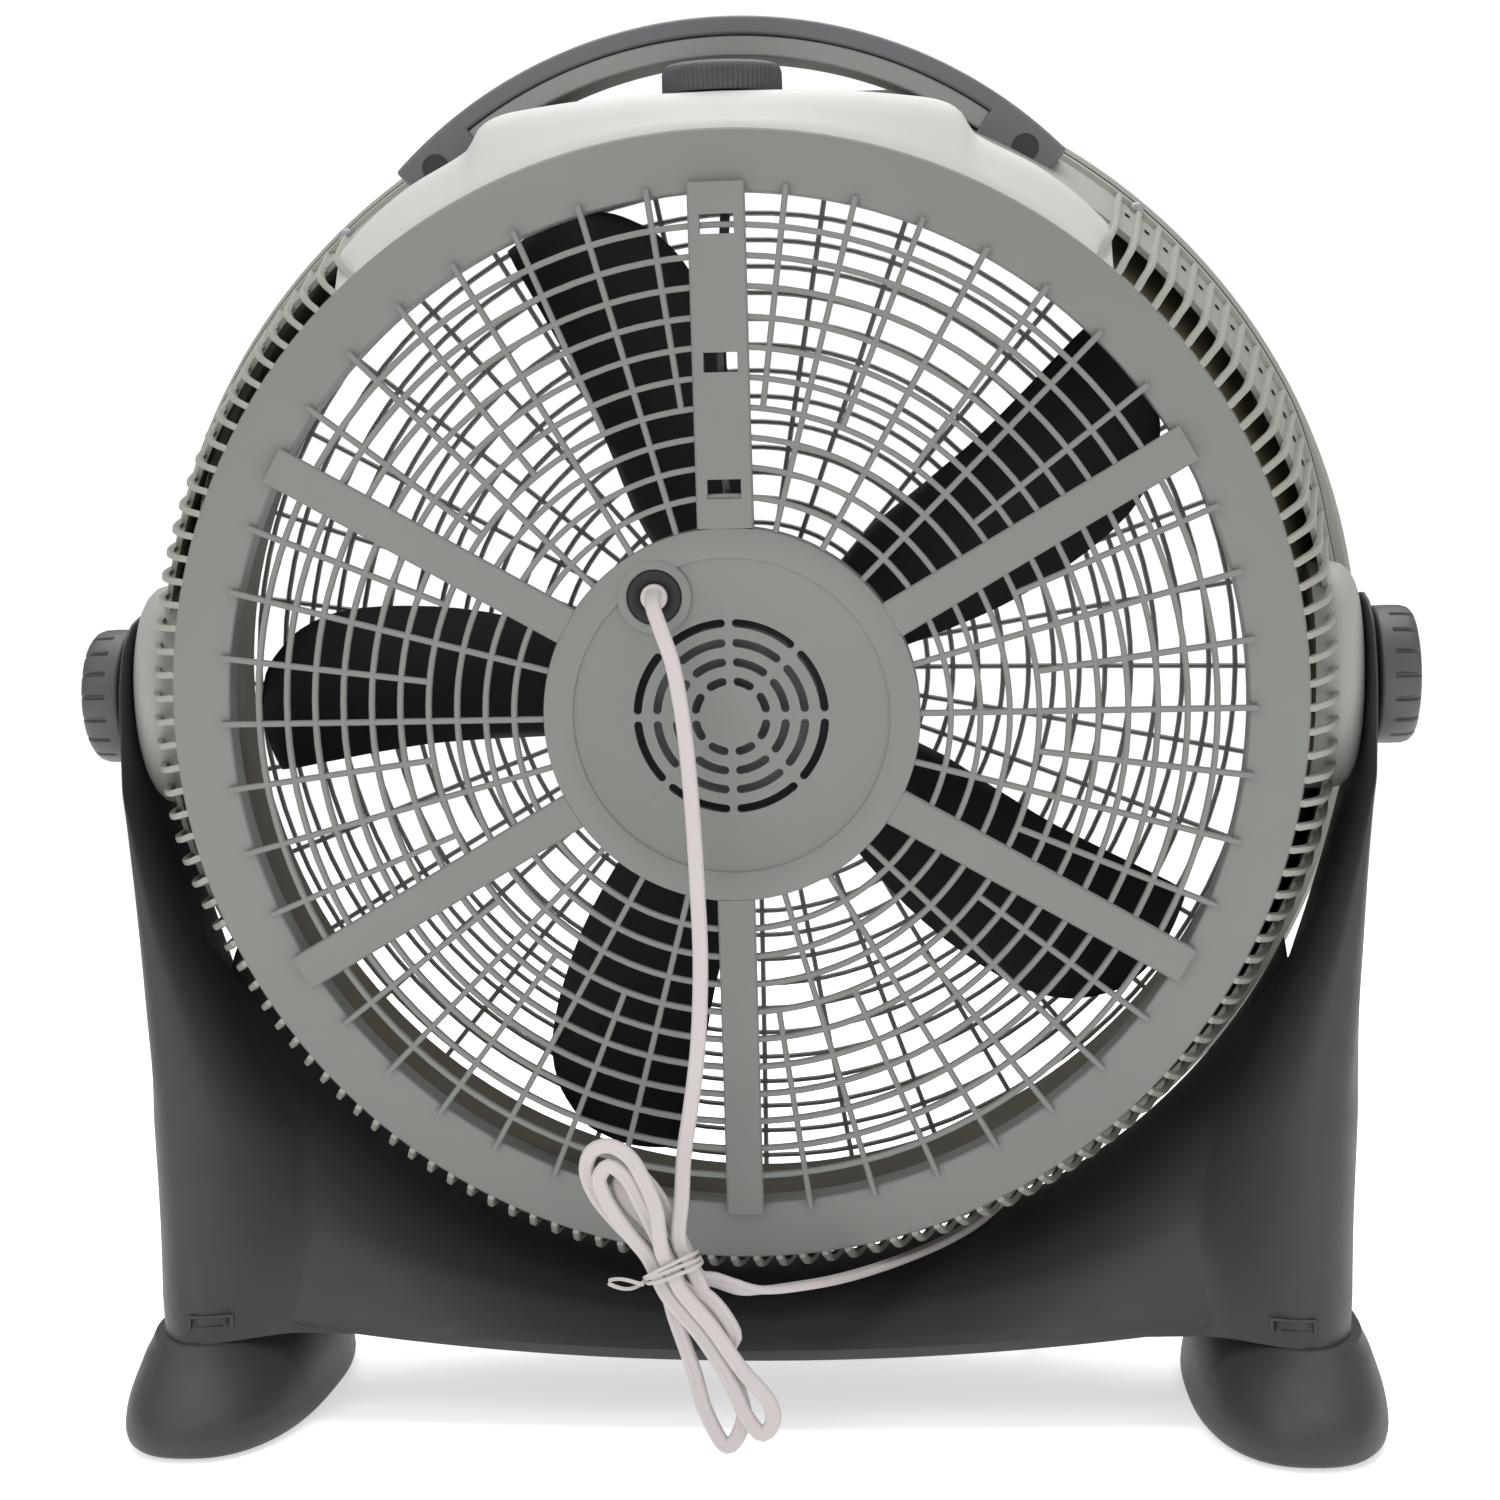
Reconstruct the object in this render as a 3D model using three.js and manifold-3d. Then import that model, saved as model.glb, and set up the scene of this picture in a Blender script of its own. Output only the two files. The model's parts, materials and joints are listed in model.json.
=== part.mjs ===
// Axial air mover: a floor fan whose round head tilts between the two uprights of a moulded stand.
// Millimetres, +Z up, +Y the way the air is blown, the back of the head and its lead on the -Y side.
import * as THREE from "three";
import { mergeVertices } from "three/addons/utils/BufferGeometryUtils.js";
import Module from "manifold-3d";

const wasm = await Module();
wasm.setup();

// ---- driving dimensions ----
const PIVOT_HEIGHT = 342; // tilt axis above the floor
const PIVOT_Y = -7.92; // tilt axis from the middle of the object's box
const REST_TILT = 8; // degrees, front of the head raised
const AXIS_DROP = 5; // fan axis below the tilt axis
const GAP = 0.3; // clearance between touching pieces
const WALL = 3; // moulded wall thickness
const TOP_FLAT = 276; // the drum's front and its rim are cut straight above this height

const RING_INNER = 231; // flat rear ring
const RING_OUTER = 259;
const RING_REAR = -62; // rear face of the ring, from the tilt axis
const DRUM_FRONT = 50;
const DRUM_FRONT_R = 289;
const RIM_R = 297; // front rim
const RIM_FRONT = 72;
const DOME = 28; // how far the front grille swells forward

const HUB_R = 84.5; // rear hub plate
const HUB_STEP_R = 71;
const GRILLE_REAR = -65.3;
const SPOKE_WIDTH = 17;

const BLADES = 5;
const BLADE_R = 238;
const IMPELLER_HUB_R = 46;

const BOSS_FACE = 285.5; // side bosses of the drum, from the middle plane
const UPRIGHT_OUTER = 290.8;
const UPRIGHT_INNER = 286.2;
const KNOB_R = 31.5;

const STAND_BOTTOM = -298; // below the tilt axis
const FOOT_X = 248.2;
const FOOT_Y = 5;
const FOOT_HALF_WIDTH = 43.8;
const FOOT_HALF_LENGTH = 103;

const SADDLE_R = 288; // ridge of the saddle, round the tilt axis

const ARCH_R = 217.3; // outer face of the handle
const ARCH_CENTRE_Z = 89;
const DECK_Z = 268.5; // top deck, above the tilt axis
const HANDLE_Y = 23;
const SPEED_KNOB_R = 27;
const SPEED_KNOB_Y = -14;

const CORD_WIDTH = 8; // flat twin lead
const CORD_THICKNESS = 4.4;

// ---- materials ----
const finishes = {
  grille: [0x878985, 0.5, 0],
  shell: [0xc8c9c5, 0.5, 0],
  charcoal: [0x3c3d40, 0.6, 0],
  knob: [0x55555a, 0.5, 0],
  handle: [0x69696e, 0.5, 0],
  blade: [0x1c1c1c, 0.35, 0],
  rubber: [0x141414, 0.8, 0],
  cord: [0xbeb6b6, 0.5, 0],
  tie: [0xb8b4b0, 0.6, 0],
  steel: [0xb4b6b8, 0.3, 1],
  brass: [0xb08d4a, 0.35, 1],
  copper: [0x9a5a32, 0.4, 1],
  casting: [0x8f9296, 0.5, 1],
  capacitor: [0x2c2c2e, 0.4, 0],
  duct: [0x5a5644, 0.5, 0],
};

function finish(name) {
  const [color, roughness, metalness] = finishes[name];
  return new THREE.MeshStandardMaterial({ color, roughness, metalness });
}

// ---- solids ----
function toSolid(geometry) {
  const bare = geometry.clone();
  bare.deleteAttribute("normal");
  bare.deleteAttribute("uv");
  const merged = mergeVertices(bare, 1e-4);
  const vertProperties = new Float32Array(merged.attributes.position.array);
  const triVerts = new Uint32Array(merged.index.array);
  const solid = new wasm.Manifold(new wasm.Mesh({ numProp: 3, vertProperties, triVerts }));
  return solid;
}

function toGeometry(solid) {
  const mesh = solid.getMesh();
  const positions = new Float32Array(mesh.numVert * 3);
  for (let i = 0; i < mesh.numVert; i++) {
    const start = i * mesh.numProp;
    positions.set(mesh.vertProperties.subarray(start, start + 3), i * 3);
  }
  const geometry = new THREE.BufferGeometry();
  geometry.setAttribute("position", new THREE.BufferAttribute(positions, 3));
  geometry.setIndex(new THREE.BufferAttribute(new Uint32Array(mesh.triVerts), 1));
  geometry.computeVertexNormals();
  return geometry;
}

function joined(...geometries) {
  return toGeometry(geometries.map(toSolid).reduce((a, b) => a.add(b)));
}

function cut(body, ...tools) {
  return toGeometry(tools.map(toSolid).reduce((a, b) => a.subtract(b), toSolid(body)));
}

// A closed solid through sections that all have the same number of points, in order.
function loft(sections) {
  const count = sections[0].length;
  const positions = [];
  const index = [];
  sections.forEach((section) => section.forEach((p) => positions.push(...p)));
  for (let s = 0; s + 1 < sections.length; s++) {
    for (let i = 0; i < count; i++) {
      const a = s * count + i;
      const b = s * count + ((i + 1) % count);
      index.push(a, b, b + count, a, b + count, a + count);
    }
  }
  const last = (sections.length - 1) * count;
  for (let i = 1; i + 1 < count; i++) {
    index.push(0, i + 1, i);
    index.push(last, last + i, last + i + 1);
  }
  const geometry = new THREE.BufferGeometry();
  geometry.setAttribute("position", new THREE.Float32BufferAttribute(positions, 3));
  geometry.setIndex(index);
  return facingOut(geometry);
}

function facingOut(geometry) {
  const p = geometry.attributes.position;
  const index = geometry.index.array;
  const a = new THREE.Vector3();
  const b = new THREE.Vector3();
  const c = new THREE.Vector3();
  let volume = 0;
  for (let i = 0; i < index.length; i += 3) {
    a.fromBufferAttribute(p, index[i]);
    b.fromBufferAttribute(p, index[i + 1]);
    c.fromBufferAttribute(p, index[i + 2]);
    volume += a.dot(b.cross(c));
  }
  if (volume < 0) {
    for (let i = 0; i < index.length; i += 3) {
      [index[i], index[i + 1]] = [index[i + 1], index[i]];
    }
  }
  geometry.computeVertexNormals();
  return geometry;
}

// A closed profile of [radius, y] points turned round the Y axis.
function turned(profile, segments) {
  const points = profile.map(([r, y]) => new THREE.Vector2(r, y));
  return facingOut(indexed(new THREE.LatheGeometry(points, segments)));
}

function indexed(geometry) {
  const bare = geometry.clone();
  bare.deleteAttribute("normal");
  bare.deleteAttribute("uv");
  return mergeVertices(bare, 1e-4);
}

// A ring or disc round the Y axis with a rectangular section.
function ring(inner, outer, y0, y1, segments) {
  if (inner === 0) {
    return turned([[0, y0], [outer, y0], [outer, y1], [0, y1]], segments);
  }
  return turned([[inner, y0], [outer, y0], [outer, y1], [inner, y1], [inner, y0]], segments);
}

function box(x0, x1, y0, y1, z0, z1) {
  const geometry = new THREE.BoxGeometry(x1 - x0, y1 - y0, z1 - z0);
  return geometry.translate((x0 + x1) / 2, (y0 + y1) / 2, (z0 + z1) / 2);
}

// A turned piece laid along X: profile points are [radius, x].
function turnedAlongX(profile, segments) {
  return turned(profile, segments).rotateZ(-Math.PI / 2);
}

function rodAlongX(radius, x0, x1, segments = 20) {
  return turnedAlongX([[0, x0], [radius, x0], [radius, x1], [0, x1]], segments);
}

// A turned piece standing along Z: profile points are [radius, z].
function turnedAlongZ(profile, segments) {
  return turned(profile, segments).rotateX(Math.PI / 2);
}

function rodAlongZ(radius, z0, z1, segments = 20) {
  return turnedAlongZ([[0, z0], [radius, z0], [radius, z1], [0, z1]], segments);
}

// A flat outline in X and Z, made solid from y0 to y1.
function plate(shape, y0, y1) {
  const geometry = new THREE.ExtrudeGeometry(shape, { depth: y1 - y0, bevelEnabled: false });
  return geometry.rotateX(Math.PI / 2).translate(0, y1, 0);
}

function polar(radius, angle) {
  return [radius * Math.cos(angle), radius * Math.sin(angle)];
}

function outline(points) {
  return new THREE.Shape(points.map(([x, z]) => new THREE.Vector2(x, z)));
}

function circlePoints(radius, segments) {
  return Array.from({ length: segments }, (_, i) => polar(radius, (2 * Math.PI * i) / segments));
}

// A rounded rectangle in a level plane, as a loft section.
function level(z, x0, x1, halfDepth, count = 16, power = 2.8) {
  const centre = (x0 + x1) / 2;
  const halfWidth = (x1 - x0) / 2;
  return Array.from({ length: count }, (_, i) => {
    const a = (2 * Math.PI * (i + 0.5)) / count;
    const c = Math.cos(a);
    const s = Math.sin(a);
    const x = centre + halfWidth * Math.sign(c) * Math.abs(c) ** (2 / power);
    const y = halfDepth * Math.sign(s) * Math.abs(s) ** (2 / power);
    return [x, y, z];
  });
}

function mirroredX(geometry) {
  return facingOut(indexed(geometry.clone().scale(-1, 1, 1)));
}

// ---- scene graph ----
const part = new THREE.Group();

// Pieces that stay with the stand; their origin is on the tilt axis.
const stand = new THREE.Group();
stand.position.set(0, PIVOT_Y, PIVOT_HEIGHT);
part.add(stand);

// Pieces that tilt with the head.
const head = new THREE.Group();
head.position.copy(stand.position);
head.rotation.x = THREE.MathUtils.degToRad(REST_TILT);
part.add(head);

// Pieces turned round the fan axis.
const axis = new THREE.Group();
axis.position.z = -AXIS_DROP;
head.add(axis);

function addTo(group, name, geometry, finishName) {
  const mesh = new THREE.Mesh(geometry, finish(finishName));
  mesh.name = name;
  group.add(mesh);
  return mesh;
}

// ---- stand ----
// Each row: height, outer face, inner face, half depth of an upright.
const UPRIGHT_LEVELS = [
  [STAND_BOTTOM, 274, 226, 62],
  [-250, 277, 231, 58],
  [-200, 280.8, 239, 54],
  [-150, 283.6, 252, 50],
  [-100, 285.8, 269, 46],
  [-60, 288, 281.5, 42],
  [-42, 289.2, UPRIGHT_INNER, 40],
  [0, UPRIGHT_OUTER, UPRIGHT_INNER, 38],
  [20, UPRIGHT_OUTER, UPRIGHT_INNER, 32.5],
  [33, 290.6, 286.7, 19],
  [38, 289.9, 287.3, 6],
];

function uprightSolid() {
  return loft(UPRIGHT_LEVELS.map(([z, outer, inner, half]) => level(z, inner, outer, half)));
}

// The hollow of an upright, open at its foot.
function uprightHollow() {
  const rows = UPRIGHT_LEVELS.filter(([z]) => z <= -100);
  const sections = rows.map(([z, outer, inner, half]) => {
    return level(z, inner + WALL, outer - WALL, half - WALL);
  });
  const [, outer, inner, half] = UPRIGHT_LEVELS[0];
  sections.unshift(level(STAND_BOTTOM - 5, inner + WALL, outer - WALL, half - WALL));
  return loft(sections);
}

// The saddle between the uprights: a skin that rises from a low rear edge to a ridge under the head.
function saddleSection(x, inset) {
  const rearY = -50 + 6 * (x / 200) ** 2 + inset;
  const ridgeY = 58 - 22 * (x / 260) ** 2 - inset;
  const bottomZ = -309 + 15 * (x / 220) ** 2 - 2 * inset;
  const lipZ = -303 + 14 * (x / 220) ** 2 - inset;
  const ridgeZ = -Math.sqrt(SADDLE_R ** 2 - x ** 2) - inset * 1.4;
  const points = [[x, rearY, bottomZ]];
  const steps = 4;
  for (let i = 0; i <= steps; i++) {
    const t = i / steps;
    const y = rearY + (ridgeY - rearY) * t;
    const z = lipZ + (ridgeZ - lipZ) * (1 - (1 - t) ** 1.6);
    points.push([x, y, z]);
  }
  points.push([x, ridgeY + 2, bottomZ]);
  return points;
}

function saddle(inset) {
  const half = 6;
  const reach = 257;
  const sections = [];
  for (let k = -half; k <= half; k++) {
    sections.push(saddleSection(reach * Math.sin((Math.PI / 2) * (k / half)), inset));
  }
  return loft(sections);
}

function standFrame() {
  const right = uprightSolid();
  const hollow = uprightHollow();
  const boltHole = rodAlongX(4.6, 265, 305, 12);
  const latchWindow = box(235, 254, -70, -52, -291, -285.5);
  const solid = [right, mirroredX(right), saddle(0)].map(toSolid).reduce((a, b) => a.add(b));
  const tools = [hollow, mirroredX(hollow), saddle(WALL), boltHole, mirroredX(boltHole)];
  tools.push(latchWindow, mirroredX(latchWindow));
  return toGeometry(tools.map(toSolid).reduce((a, b) => a.subtract(b), solid));
}

addTo(stand, "stand_frame", standFrame(), "charcoal");

// Each row: height above the floor, centre, half width, half length of a foot.
const FOOT_LEVELS = [
  [1.5, FOOT_X, FOOT_HALF_WIDTH - 2.5, FOOT_HALF_LENGTH - 4],
  [7, FOOT_X, FOOT_HALF_WIDTH, FOOT_HALF_LENGTH],
  [15, FOOT_X, FOOT_HALF_WIDTH - 0.6, FOOT_HALF_LENGTH - 2],
  [25, FOOT_X + 0.4, FOOT_HALF_WIDTH - 3.2, FOOT_HALF_LENGTH - 12],
  [34, FOOT_X + 1.8, FOOT_HALF_WIDTH - 7.8, FOOT_HALF_LENGTH - 25],
  [43.7, FOOT_X + 5.6, FOOT_HALF_WIDTH - 15.6, FOOT_HALF_LENGTH - 39],
];
const PAD_R = 11;
const PAD_Y = 80;

function footGeometry() {
  const body = loft(FOOT_LEVELS.map(([z, x, w, l]) => level(z, x - w, x + w, l, 16, 2.5)));
  body.translate(0, FOOT_Y, 0);
  const plug = loft([level(40, 229.7, 270.2, 58), level(58, 231.5, 271, 56)]);
  const latch = box(239.5, 252, -60, -50, 52.5, 55.5);
  const underside = box(FOOT_X - 32, FOOT_X + 32, FOOT_Y - 54, FOOT_Y + 54, -2, 22);
  const recesses = [-PAD_Y, PAD_Y].map((y) => {
    return rodAlongZ(PAD_R + 0.6, -2, 3.3, 12).translate(FOOT_X, FOOT_Y + y, 0);
  });
  return cut(joined(body, plug, latch), underside, ...recesses);
}

const foot = footGeometry();
const pad = turnedAlongZ([[0, 0], [PAD_R - 1, 0], [PAD_R, 1], [PAD_R, 3], [0, 3]], 12);
for (const [side, sign] of [["left", -1], ["right", 1]]) {
  const shape = sign > 0 ? foot : mirroredX(foot);
  addTo(stand, `foot_${side}`, shape.clone().translate(0, 0, -PIVOT_HEIGHT), "charcoal");
  for (const [end, y] of [["rear", -PAD_Y], ["front", PAD_Y]]) {
    const piece = addTo(stand, `foot_pad_${side}_${end}`, pad, "rubber");
    piece.position.set(sign * FOOT_X, FOOT_Y + y, -PIVOT_HEIGHT);
  }
}

// ---- tilt knobs, studs, washers and captive nuts ----
const KNOB_FLUTES = 12;
const STUD_R = 4;

function knobGeometry() {
  const base = turnedAlongX([[0, 292.2], [28, 292.2], [29.5, 294], [29.5, 300], [0, 300]], 20);
  const grip = Array.from({ length: KNOB_FLUTES * 3 }, (_, i) => {
    const deep = i % 3 === 0;
    return polar(deep ? KNOB_R - 1.8 : KNOB_R, (2 * Math.PI * i) / (KNOB_FLUTES * 3));
  });
  const bevel = { depth: 9, bevelThickness: 2.5, bevelSize: 2.5, bevelOffset: -2.5, bevelSegments: 1 };
  const fluted = new THREE.ExtrudeGeometry(outline(grip), bevel);
  fluted.rotateY(Math.PI / 2).translate(299.3, 0, 0);
  return cut(joined(base, fluted), rodAlongX(STUD_R + 0.4, 285, 304, 12));
}

const knob = knobGeometry();
const stud = rodAlongX(STUD_R, 261, 303.6, 12);
const washer = turnedAlongX([[4.6, 291.1], [15, 291.1], [15, 291.9], [4.6, 291.9], [4.6, 291.1]], 16);
const nutOutline = outline(circlePoints(7.5, 6));
nutOutline.holes.push(outline(circlePoints(STUD_R + 0.3, 12).reverse()));
const nut = new THREE.ExtrudeGeometry(nutOutline, { depth: 6.5, bevelEnabled: false });
nut.rotateY(Math.PI / 2).translate(263.3, 0, 0);

for (const [side, sign] of [["left", -1], ["right", 1]]) {
  const placed = (shape) => (sign > 0 ? shape : mirroredX(shape));
  addTo(stand, `tilt_knob_${side}`, placed(knob), "knob");
  addTo(stand, `tilt_stud_${side}`, placed(stud), "steel");
  addTo(stand, `pivot_washer_${side}`, placed(washer), "steel");
  addTo(head, `pivot_nut_${side}`, placed(nut), "steel");
}

// ---- drum: rear ring, side band, bosses, top deck and inner handle arch ----
const DRUM_SEGMENTS = 48;
const BAND_SLOPE = (DRUM_FRONT_R - RING_OUTER) / (DRUM_FRONT - RING_REAR);

function bandRadius(y) {
  return RING_OUTER + BAND_SLOPE * (y - RING_REAR);
}

function drumShell() {
  return turned(
    [
      [RING_INNER, RING_REAR],
      [RING_OUTER, RING_REAR],
      [DRUM_FRONT_R, DRUM_FRONT],
      [DRUM_FRONT_R - WALL, DRUM_FRONT],
      [RING_OUTER - WALL, RING_REAR + WALL],
      [RING_INNER, RING_REAR + WALL],
      [RING_INNER, RING_REAR],
    ],
    DRUM_SEGMENTS,
  );
}

// Everything inside the drum's wall, for clearing bosses and the deck out of the air path.
function drumInside() {
  return turned(
    [
      [0, RING_REAR + WALL],
      [RING_OUTER - WALL, RING_REAR + WALL],
      [DRUM_FRONT_R - WALL, DRUM_FRONT],
      [DRUM_FRONT_R - WALL, DRUM_FRONT + 10],
      [0, DRUM_FRONT + 10],
    ],
    DRUM_SEGMENTS,
  );
}

const DECK_OUTLINE = [
  [-170, 196], [-138, 232.5], [-110.5, 246.6], [-106, 257.5], [-60, 266.3], [0, DECK_Z],
  [60, 266.3], [106, 257.5], [110.5, 246.6], [138, 232.5], [170, 196],
];

function deckBlock(inset, y0, y1) {
  const points = DECK_OUTLINE.map(([x, z]) => [x * (1 - inset / 140), z - inset]);
  points.push([100, 170], [-100, 170]);
  return plate(outline(points), y0, y1);
}

// The room over the deck for the fingers, cut out of the drum's wall.
function fingerScoop() {
  const top = DECK_OUTLINE.filter(([x]) => Math.abs(x) < 107);
  return plate(outline([[-106, 300], ...top, [106, 300]].reverse()), -54, 46.9);
}

// A band of the handle arch between two radii and two angles from the vertical.
function archBand(inner, outer, from, to, y0, y1, steps) {
  const points = [];
  for (let i = 0; i <= steps; i++) {
    const a = from + ((to - from) * i) / steps;
    points.push([outer * Math.sin(a), ARCH_CENTRE_Z + outer * Math.cos(a)]);
  }
  for (let i = steps; i >= 0; i--) {
    const a = from + ((to - from) * i) / steps;
    points.push([inner * Math.sin(a), ARCH_CENTRE_Z + inner * Math.cos(a)]);
  }
  return plate(outline(points.reverse()), y0, y1);
}

const deg = THREE.MathUtils.degToRad;
const LINER_OUTER = 208.7;
const LINER_INNER = 199.8;
const SCREW_ANGLE = deg(41);
const SCREW_RADIUS = 203.7;

function bossSolid() {
  return turnedAlongX([[0, 258], [50, 258], [46, 273], [42, 282], [38, BOSS_FACE], [0, BOSS_FACE]], 20);
}

function bossHollow() {
  const inside = turnedAlongX([[12, 250], [40, 250], [40, 272], [36, 280], [12, 280], [12, 250]], 20);
  const stud = rodAlongX(STUD_R + 0.5, 240, 300, 12);
  const pocketOutline = outline(circlePoints(7.9, 6));
  const pocket = new THREE.ExtrudeGeometry(pocketOutline, { depth: 30, bevelEnabled: false });
  pocket.rotateY(Math.PI / 2).translate(240.2, 0, 0);
  return [inside, stud, pocket];
}

// Windows of the side band, with the wall kept whole at the deck and at the bosses.
function bandWindows() {
  const windows = [];
  const pitch = deg(12);
  for (let i = 0; i < 30; i++) {
    const a = i * pitch + pitch / 2;
    const fromTop = Math.abs(a - Math.PI / 2);
    const fromBoss = Math.min(Math.abs(a), Math.abs(a - Math.PI), Math.abs(a - 2 * Math.PI));
    if (fromTop < deg(42) || fromBoss < deg(13)) {
      continue;
    }
    const shape = new THREE.BoxGeometry(30, 26, 36);
    shape.translate(bandRadius(-36), -36, 0);
    windows.push(shape.rotateY(-a).translate(0, 0, -AXIS_DROP));
  }
  return windows;
}

function drumGeometry() {
  const dropped = (shape) => shape.translate(0, 0, -AXIS_DROP);
  const shell = toSolid(dropped(drumShell()));
  const inside = toSolid(dropped(drumInside()));
  const boss = bossSolid();
  const bosses = toSolid(boss).add(toSolid(mirroredX(boss)));
  const deck = toSolid(deckBlock(0, -54, 47));
  const deckHollow = toSolid(deckBlock(WALL, -51, 43.5));
  const liner = toSolid(
    archBand(LINER_INNER, LINER_OUTER, deg(-40), deg(40), HANDLE_Y - 16, HANDLE_Y + 16, 14),
  );
  const linerTool = toSolid(box(-150, 150, -60, 60, 100, 256));
  const airWay = toSolid(dropped(ring(0, 256, RING_REAR + WALL, DRUM_FRONT + 10, DRUM_SEGMENTS)));
  const flat = toSolid(box(-130, 130, 44, 60, TOP_FLAT, 300));
  let solid = shell.subtract(deckHollow).subtract(toSolid(fingerScoop())).subtract(flat);
  solid = solid.add(bosses.subtract(inside));
  bossHollow().forEach((tool) => {
    solid = solid.subtract(toSolid(tool)).subtract(toSolid(mirroredX(tool)));
  });
  solid = solid.add(deck.subtract(deckHollow).subtract(airWay));
  solid = solid.add(liner.subtract(linerTool));
  bandWindows().forEach((tool) => {
    solid = solid.subtract(toSolid(tool));
  });
  solid = solid.subtract(toSolid(rodAlongZ(4.4, 255, 280, 16).translate(0, SPEED_KNOB_Y, 0)));
  const handleSeat = archBand(SCREW_RADIUS - 9.4, 240, deg(34.8), deg(47), -60, HANDLE_Y - 16, 4);
  const coverSeat = archBand(LINER_OUTER + 0.1, 240, deg(-47), deg(47), HANDLE_Y - 18.3, HANDLE_Y + 18.3, 18);
  [handleSeat, mirroredX(handleSeat), coverSeat].forEach((tool) => {
    solid = solid.subtract(toSolid(tool));
  });
  return toGeometry(solid);
}

addTo(head, "drum_housing", drumGeometry(), "shell");

// ---- inner duct round the fan, with a notch for the wires ----
function airDuct() {
  const tube = turned([[241, -58.4], [243.4, -58.4], [249.4, 66], [247, 66], [241, -58.4]], DRUM_SEGMENTS);
  return cut(tube, box(-1, 9, -47, -31, 232, 256));
}

addTo(axis, "air_duct", airDuct(), "duct");

// ---- handle cover and its screws ----
function handleCover() {
  const y0 = HANDLE_Y - 18;
  const y1 = HANDLE_Y + 18;
  const top = archBand(LINER_OUTER + GAP, ARCH_R, deg(-45), deg(45), y0, y1, 18);
  const rear = [-1, 1].map((sign) => {
    const from = sign < 0 ? deg(-45) : deg(35);
    const to = sign < 0 ? deg(-35) : deg(45);
    return archBand(SCREW_RADIUS - 9, ARCH_R - 1, from, to, y0, HANDLE_Y - 16 - GAP, 4);
  });
  const screwHoles = [-1, 1].map((sign) => {
    const x = sign * SCREW_RADIUS * Math.sin(SCREW_ANGLE);
    const z = ARCH_CENTRE_Z + SCREW_RADIUS * Math.cos(SCREW_ANGLE);
    return ring(0, 4.7, y0 - 3, y0 + 1.7, 20).translate(x, 0, z);
  });
  return cut(joined(top, ...rear), ...screwHoles);
}

addTo(head, "handle_cover", handleCover(), "handle");

for (const [side, sign] of [["left", -1], ["right", 1]]) {
  const x = sign * SCREW_RADIUS * Math.sin(SCREW_ANGLE);
  const z = ARCH_CENTRE_Z + SCREW_RADIUS * Math.cos(SCREW_ANGLE);
  const face = HANDLE_Y - 18;
  const profile = [[0, face + 0.6], [4.4, face + 0.6], [4.4, face + 1.4], [0, face + 1.4]];
  addTo(head, `handle_screw_${side}`, turned(profile, 16), "steel").position.set(x, 0, z);
}

// ---- speed knob, its switch and its shaft ----

function speedKnob() {
  const teeth = Array.from({ length: 40 }, (_, i) => {
    return polar(i % 2 ? SPEED_KNOB_R : SPEED_KNOB_R - 0.9, (2 * Math.PI * i) / 40);
  });
  const body = new THREE.ExtrudeGeometry(outline(teeth), { depth: 9.5, bevelEnabled: false });
  body.translate(0, 0, DECK_Z + 1);
  const cap = rodAlongZ(SPEED_KNOB_R - 2.5, DECK_Z + 10, DECK_Z + 11.8, 20);
  const socket = rodAlongZ(3.4, DECK_Z - 2, DECK_Z + 8, 12);
  return cut(joined(body, cap), socket);
}

const speed = addTo(head, "speed_knob", speedKnob(), "knob");
speed.position.y = SPEED_KNOB_Y;
const shaft = addTo(head, "switch_shaft", rodAlongZ(3, 262, DECK_Z + 7.6, 12), "brass");
shaft.position.y = SPEED_KNOB_Y;

function rotarySwitch() {
  const body = box(-16, 16, -14, 14, 243, 258);
  const collar = rodAlongZ(6, 257, 261.7, 16);
  const lugs = [-12, -4, 4, 12].map((x) => box(x - 1.2, x + 1.2, -19, -13.8, 248, 248.8));
  return joined(body, collar, ...lugs);
}

const speedSwitch = addTo(head, "speed_switch", rotarySwitch(), "rubber");
speedSwitch.position.set(0, SPEED_KNOB_Y, 0);

// ---- grilles ----
// Flat cells between radial ribs and round ribs; a wide spoke replaces every other rib.
function grilleShape(options) {
  const { outer, hub, radials, spokeEvery, ribWidth, spokeWidth, rings, phase, stub } = options;
  const points = [];
  const step = (2 * Math.PI) / radials;
  const halfWidth = (i) => (spokeEvery && i % spokeEvery === 0 ? spokeWidth / 2 : ribWidth / 2);
  for (let i = 0; i < radials; i++) {
    const a = phase + i * step;
    const w = halfWidth(i);
    points.push(polar(outer, a - w / outer));
    if (stub > outer) {
      points.push(polar(stub, a - w / stub), polar(stub, a + w / stub));
    }
    points.push(polar(outer, a + w / outer), polar(outer, a + step / 2));
  }
  const shape = outline(points);
  const pitch = (outer - hub) / rings;
  for (let k = 0; k < rings; k++) {
    const r0 = hub + k * pitch + (k ? ribWidth / 2 : 0);
    const r1 = hub + (k + 1) * pitch - (k === rings - 1 ? ribWidth : ribWidth / 2);
    for (let i = 0; i < radials; i++) {
      const a0 = phase + i * step;
      const w0 = halfWidth(i);
      const w1 = halfWidth((i + 1) % radials);
      const mid = a0 + step / 2;
      const cell = [
        polar(r0, a0 + w0 / r0), polar(r0, mid), polar(r0, a0 + step - w1 / r0),
        polar(r1, a0 + step - w1 / r1), polar(r1, mid), polar(r1, a0 + w0 / r1),
      ];
      shape.holes.push(outline(cell.reverse()));
    }
  }
  return shape;
}

const GROMMET_X = -32.5;
const GROMMET_Z = 54.3;
const GROMMET_R = 12;

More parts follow.
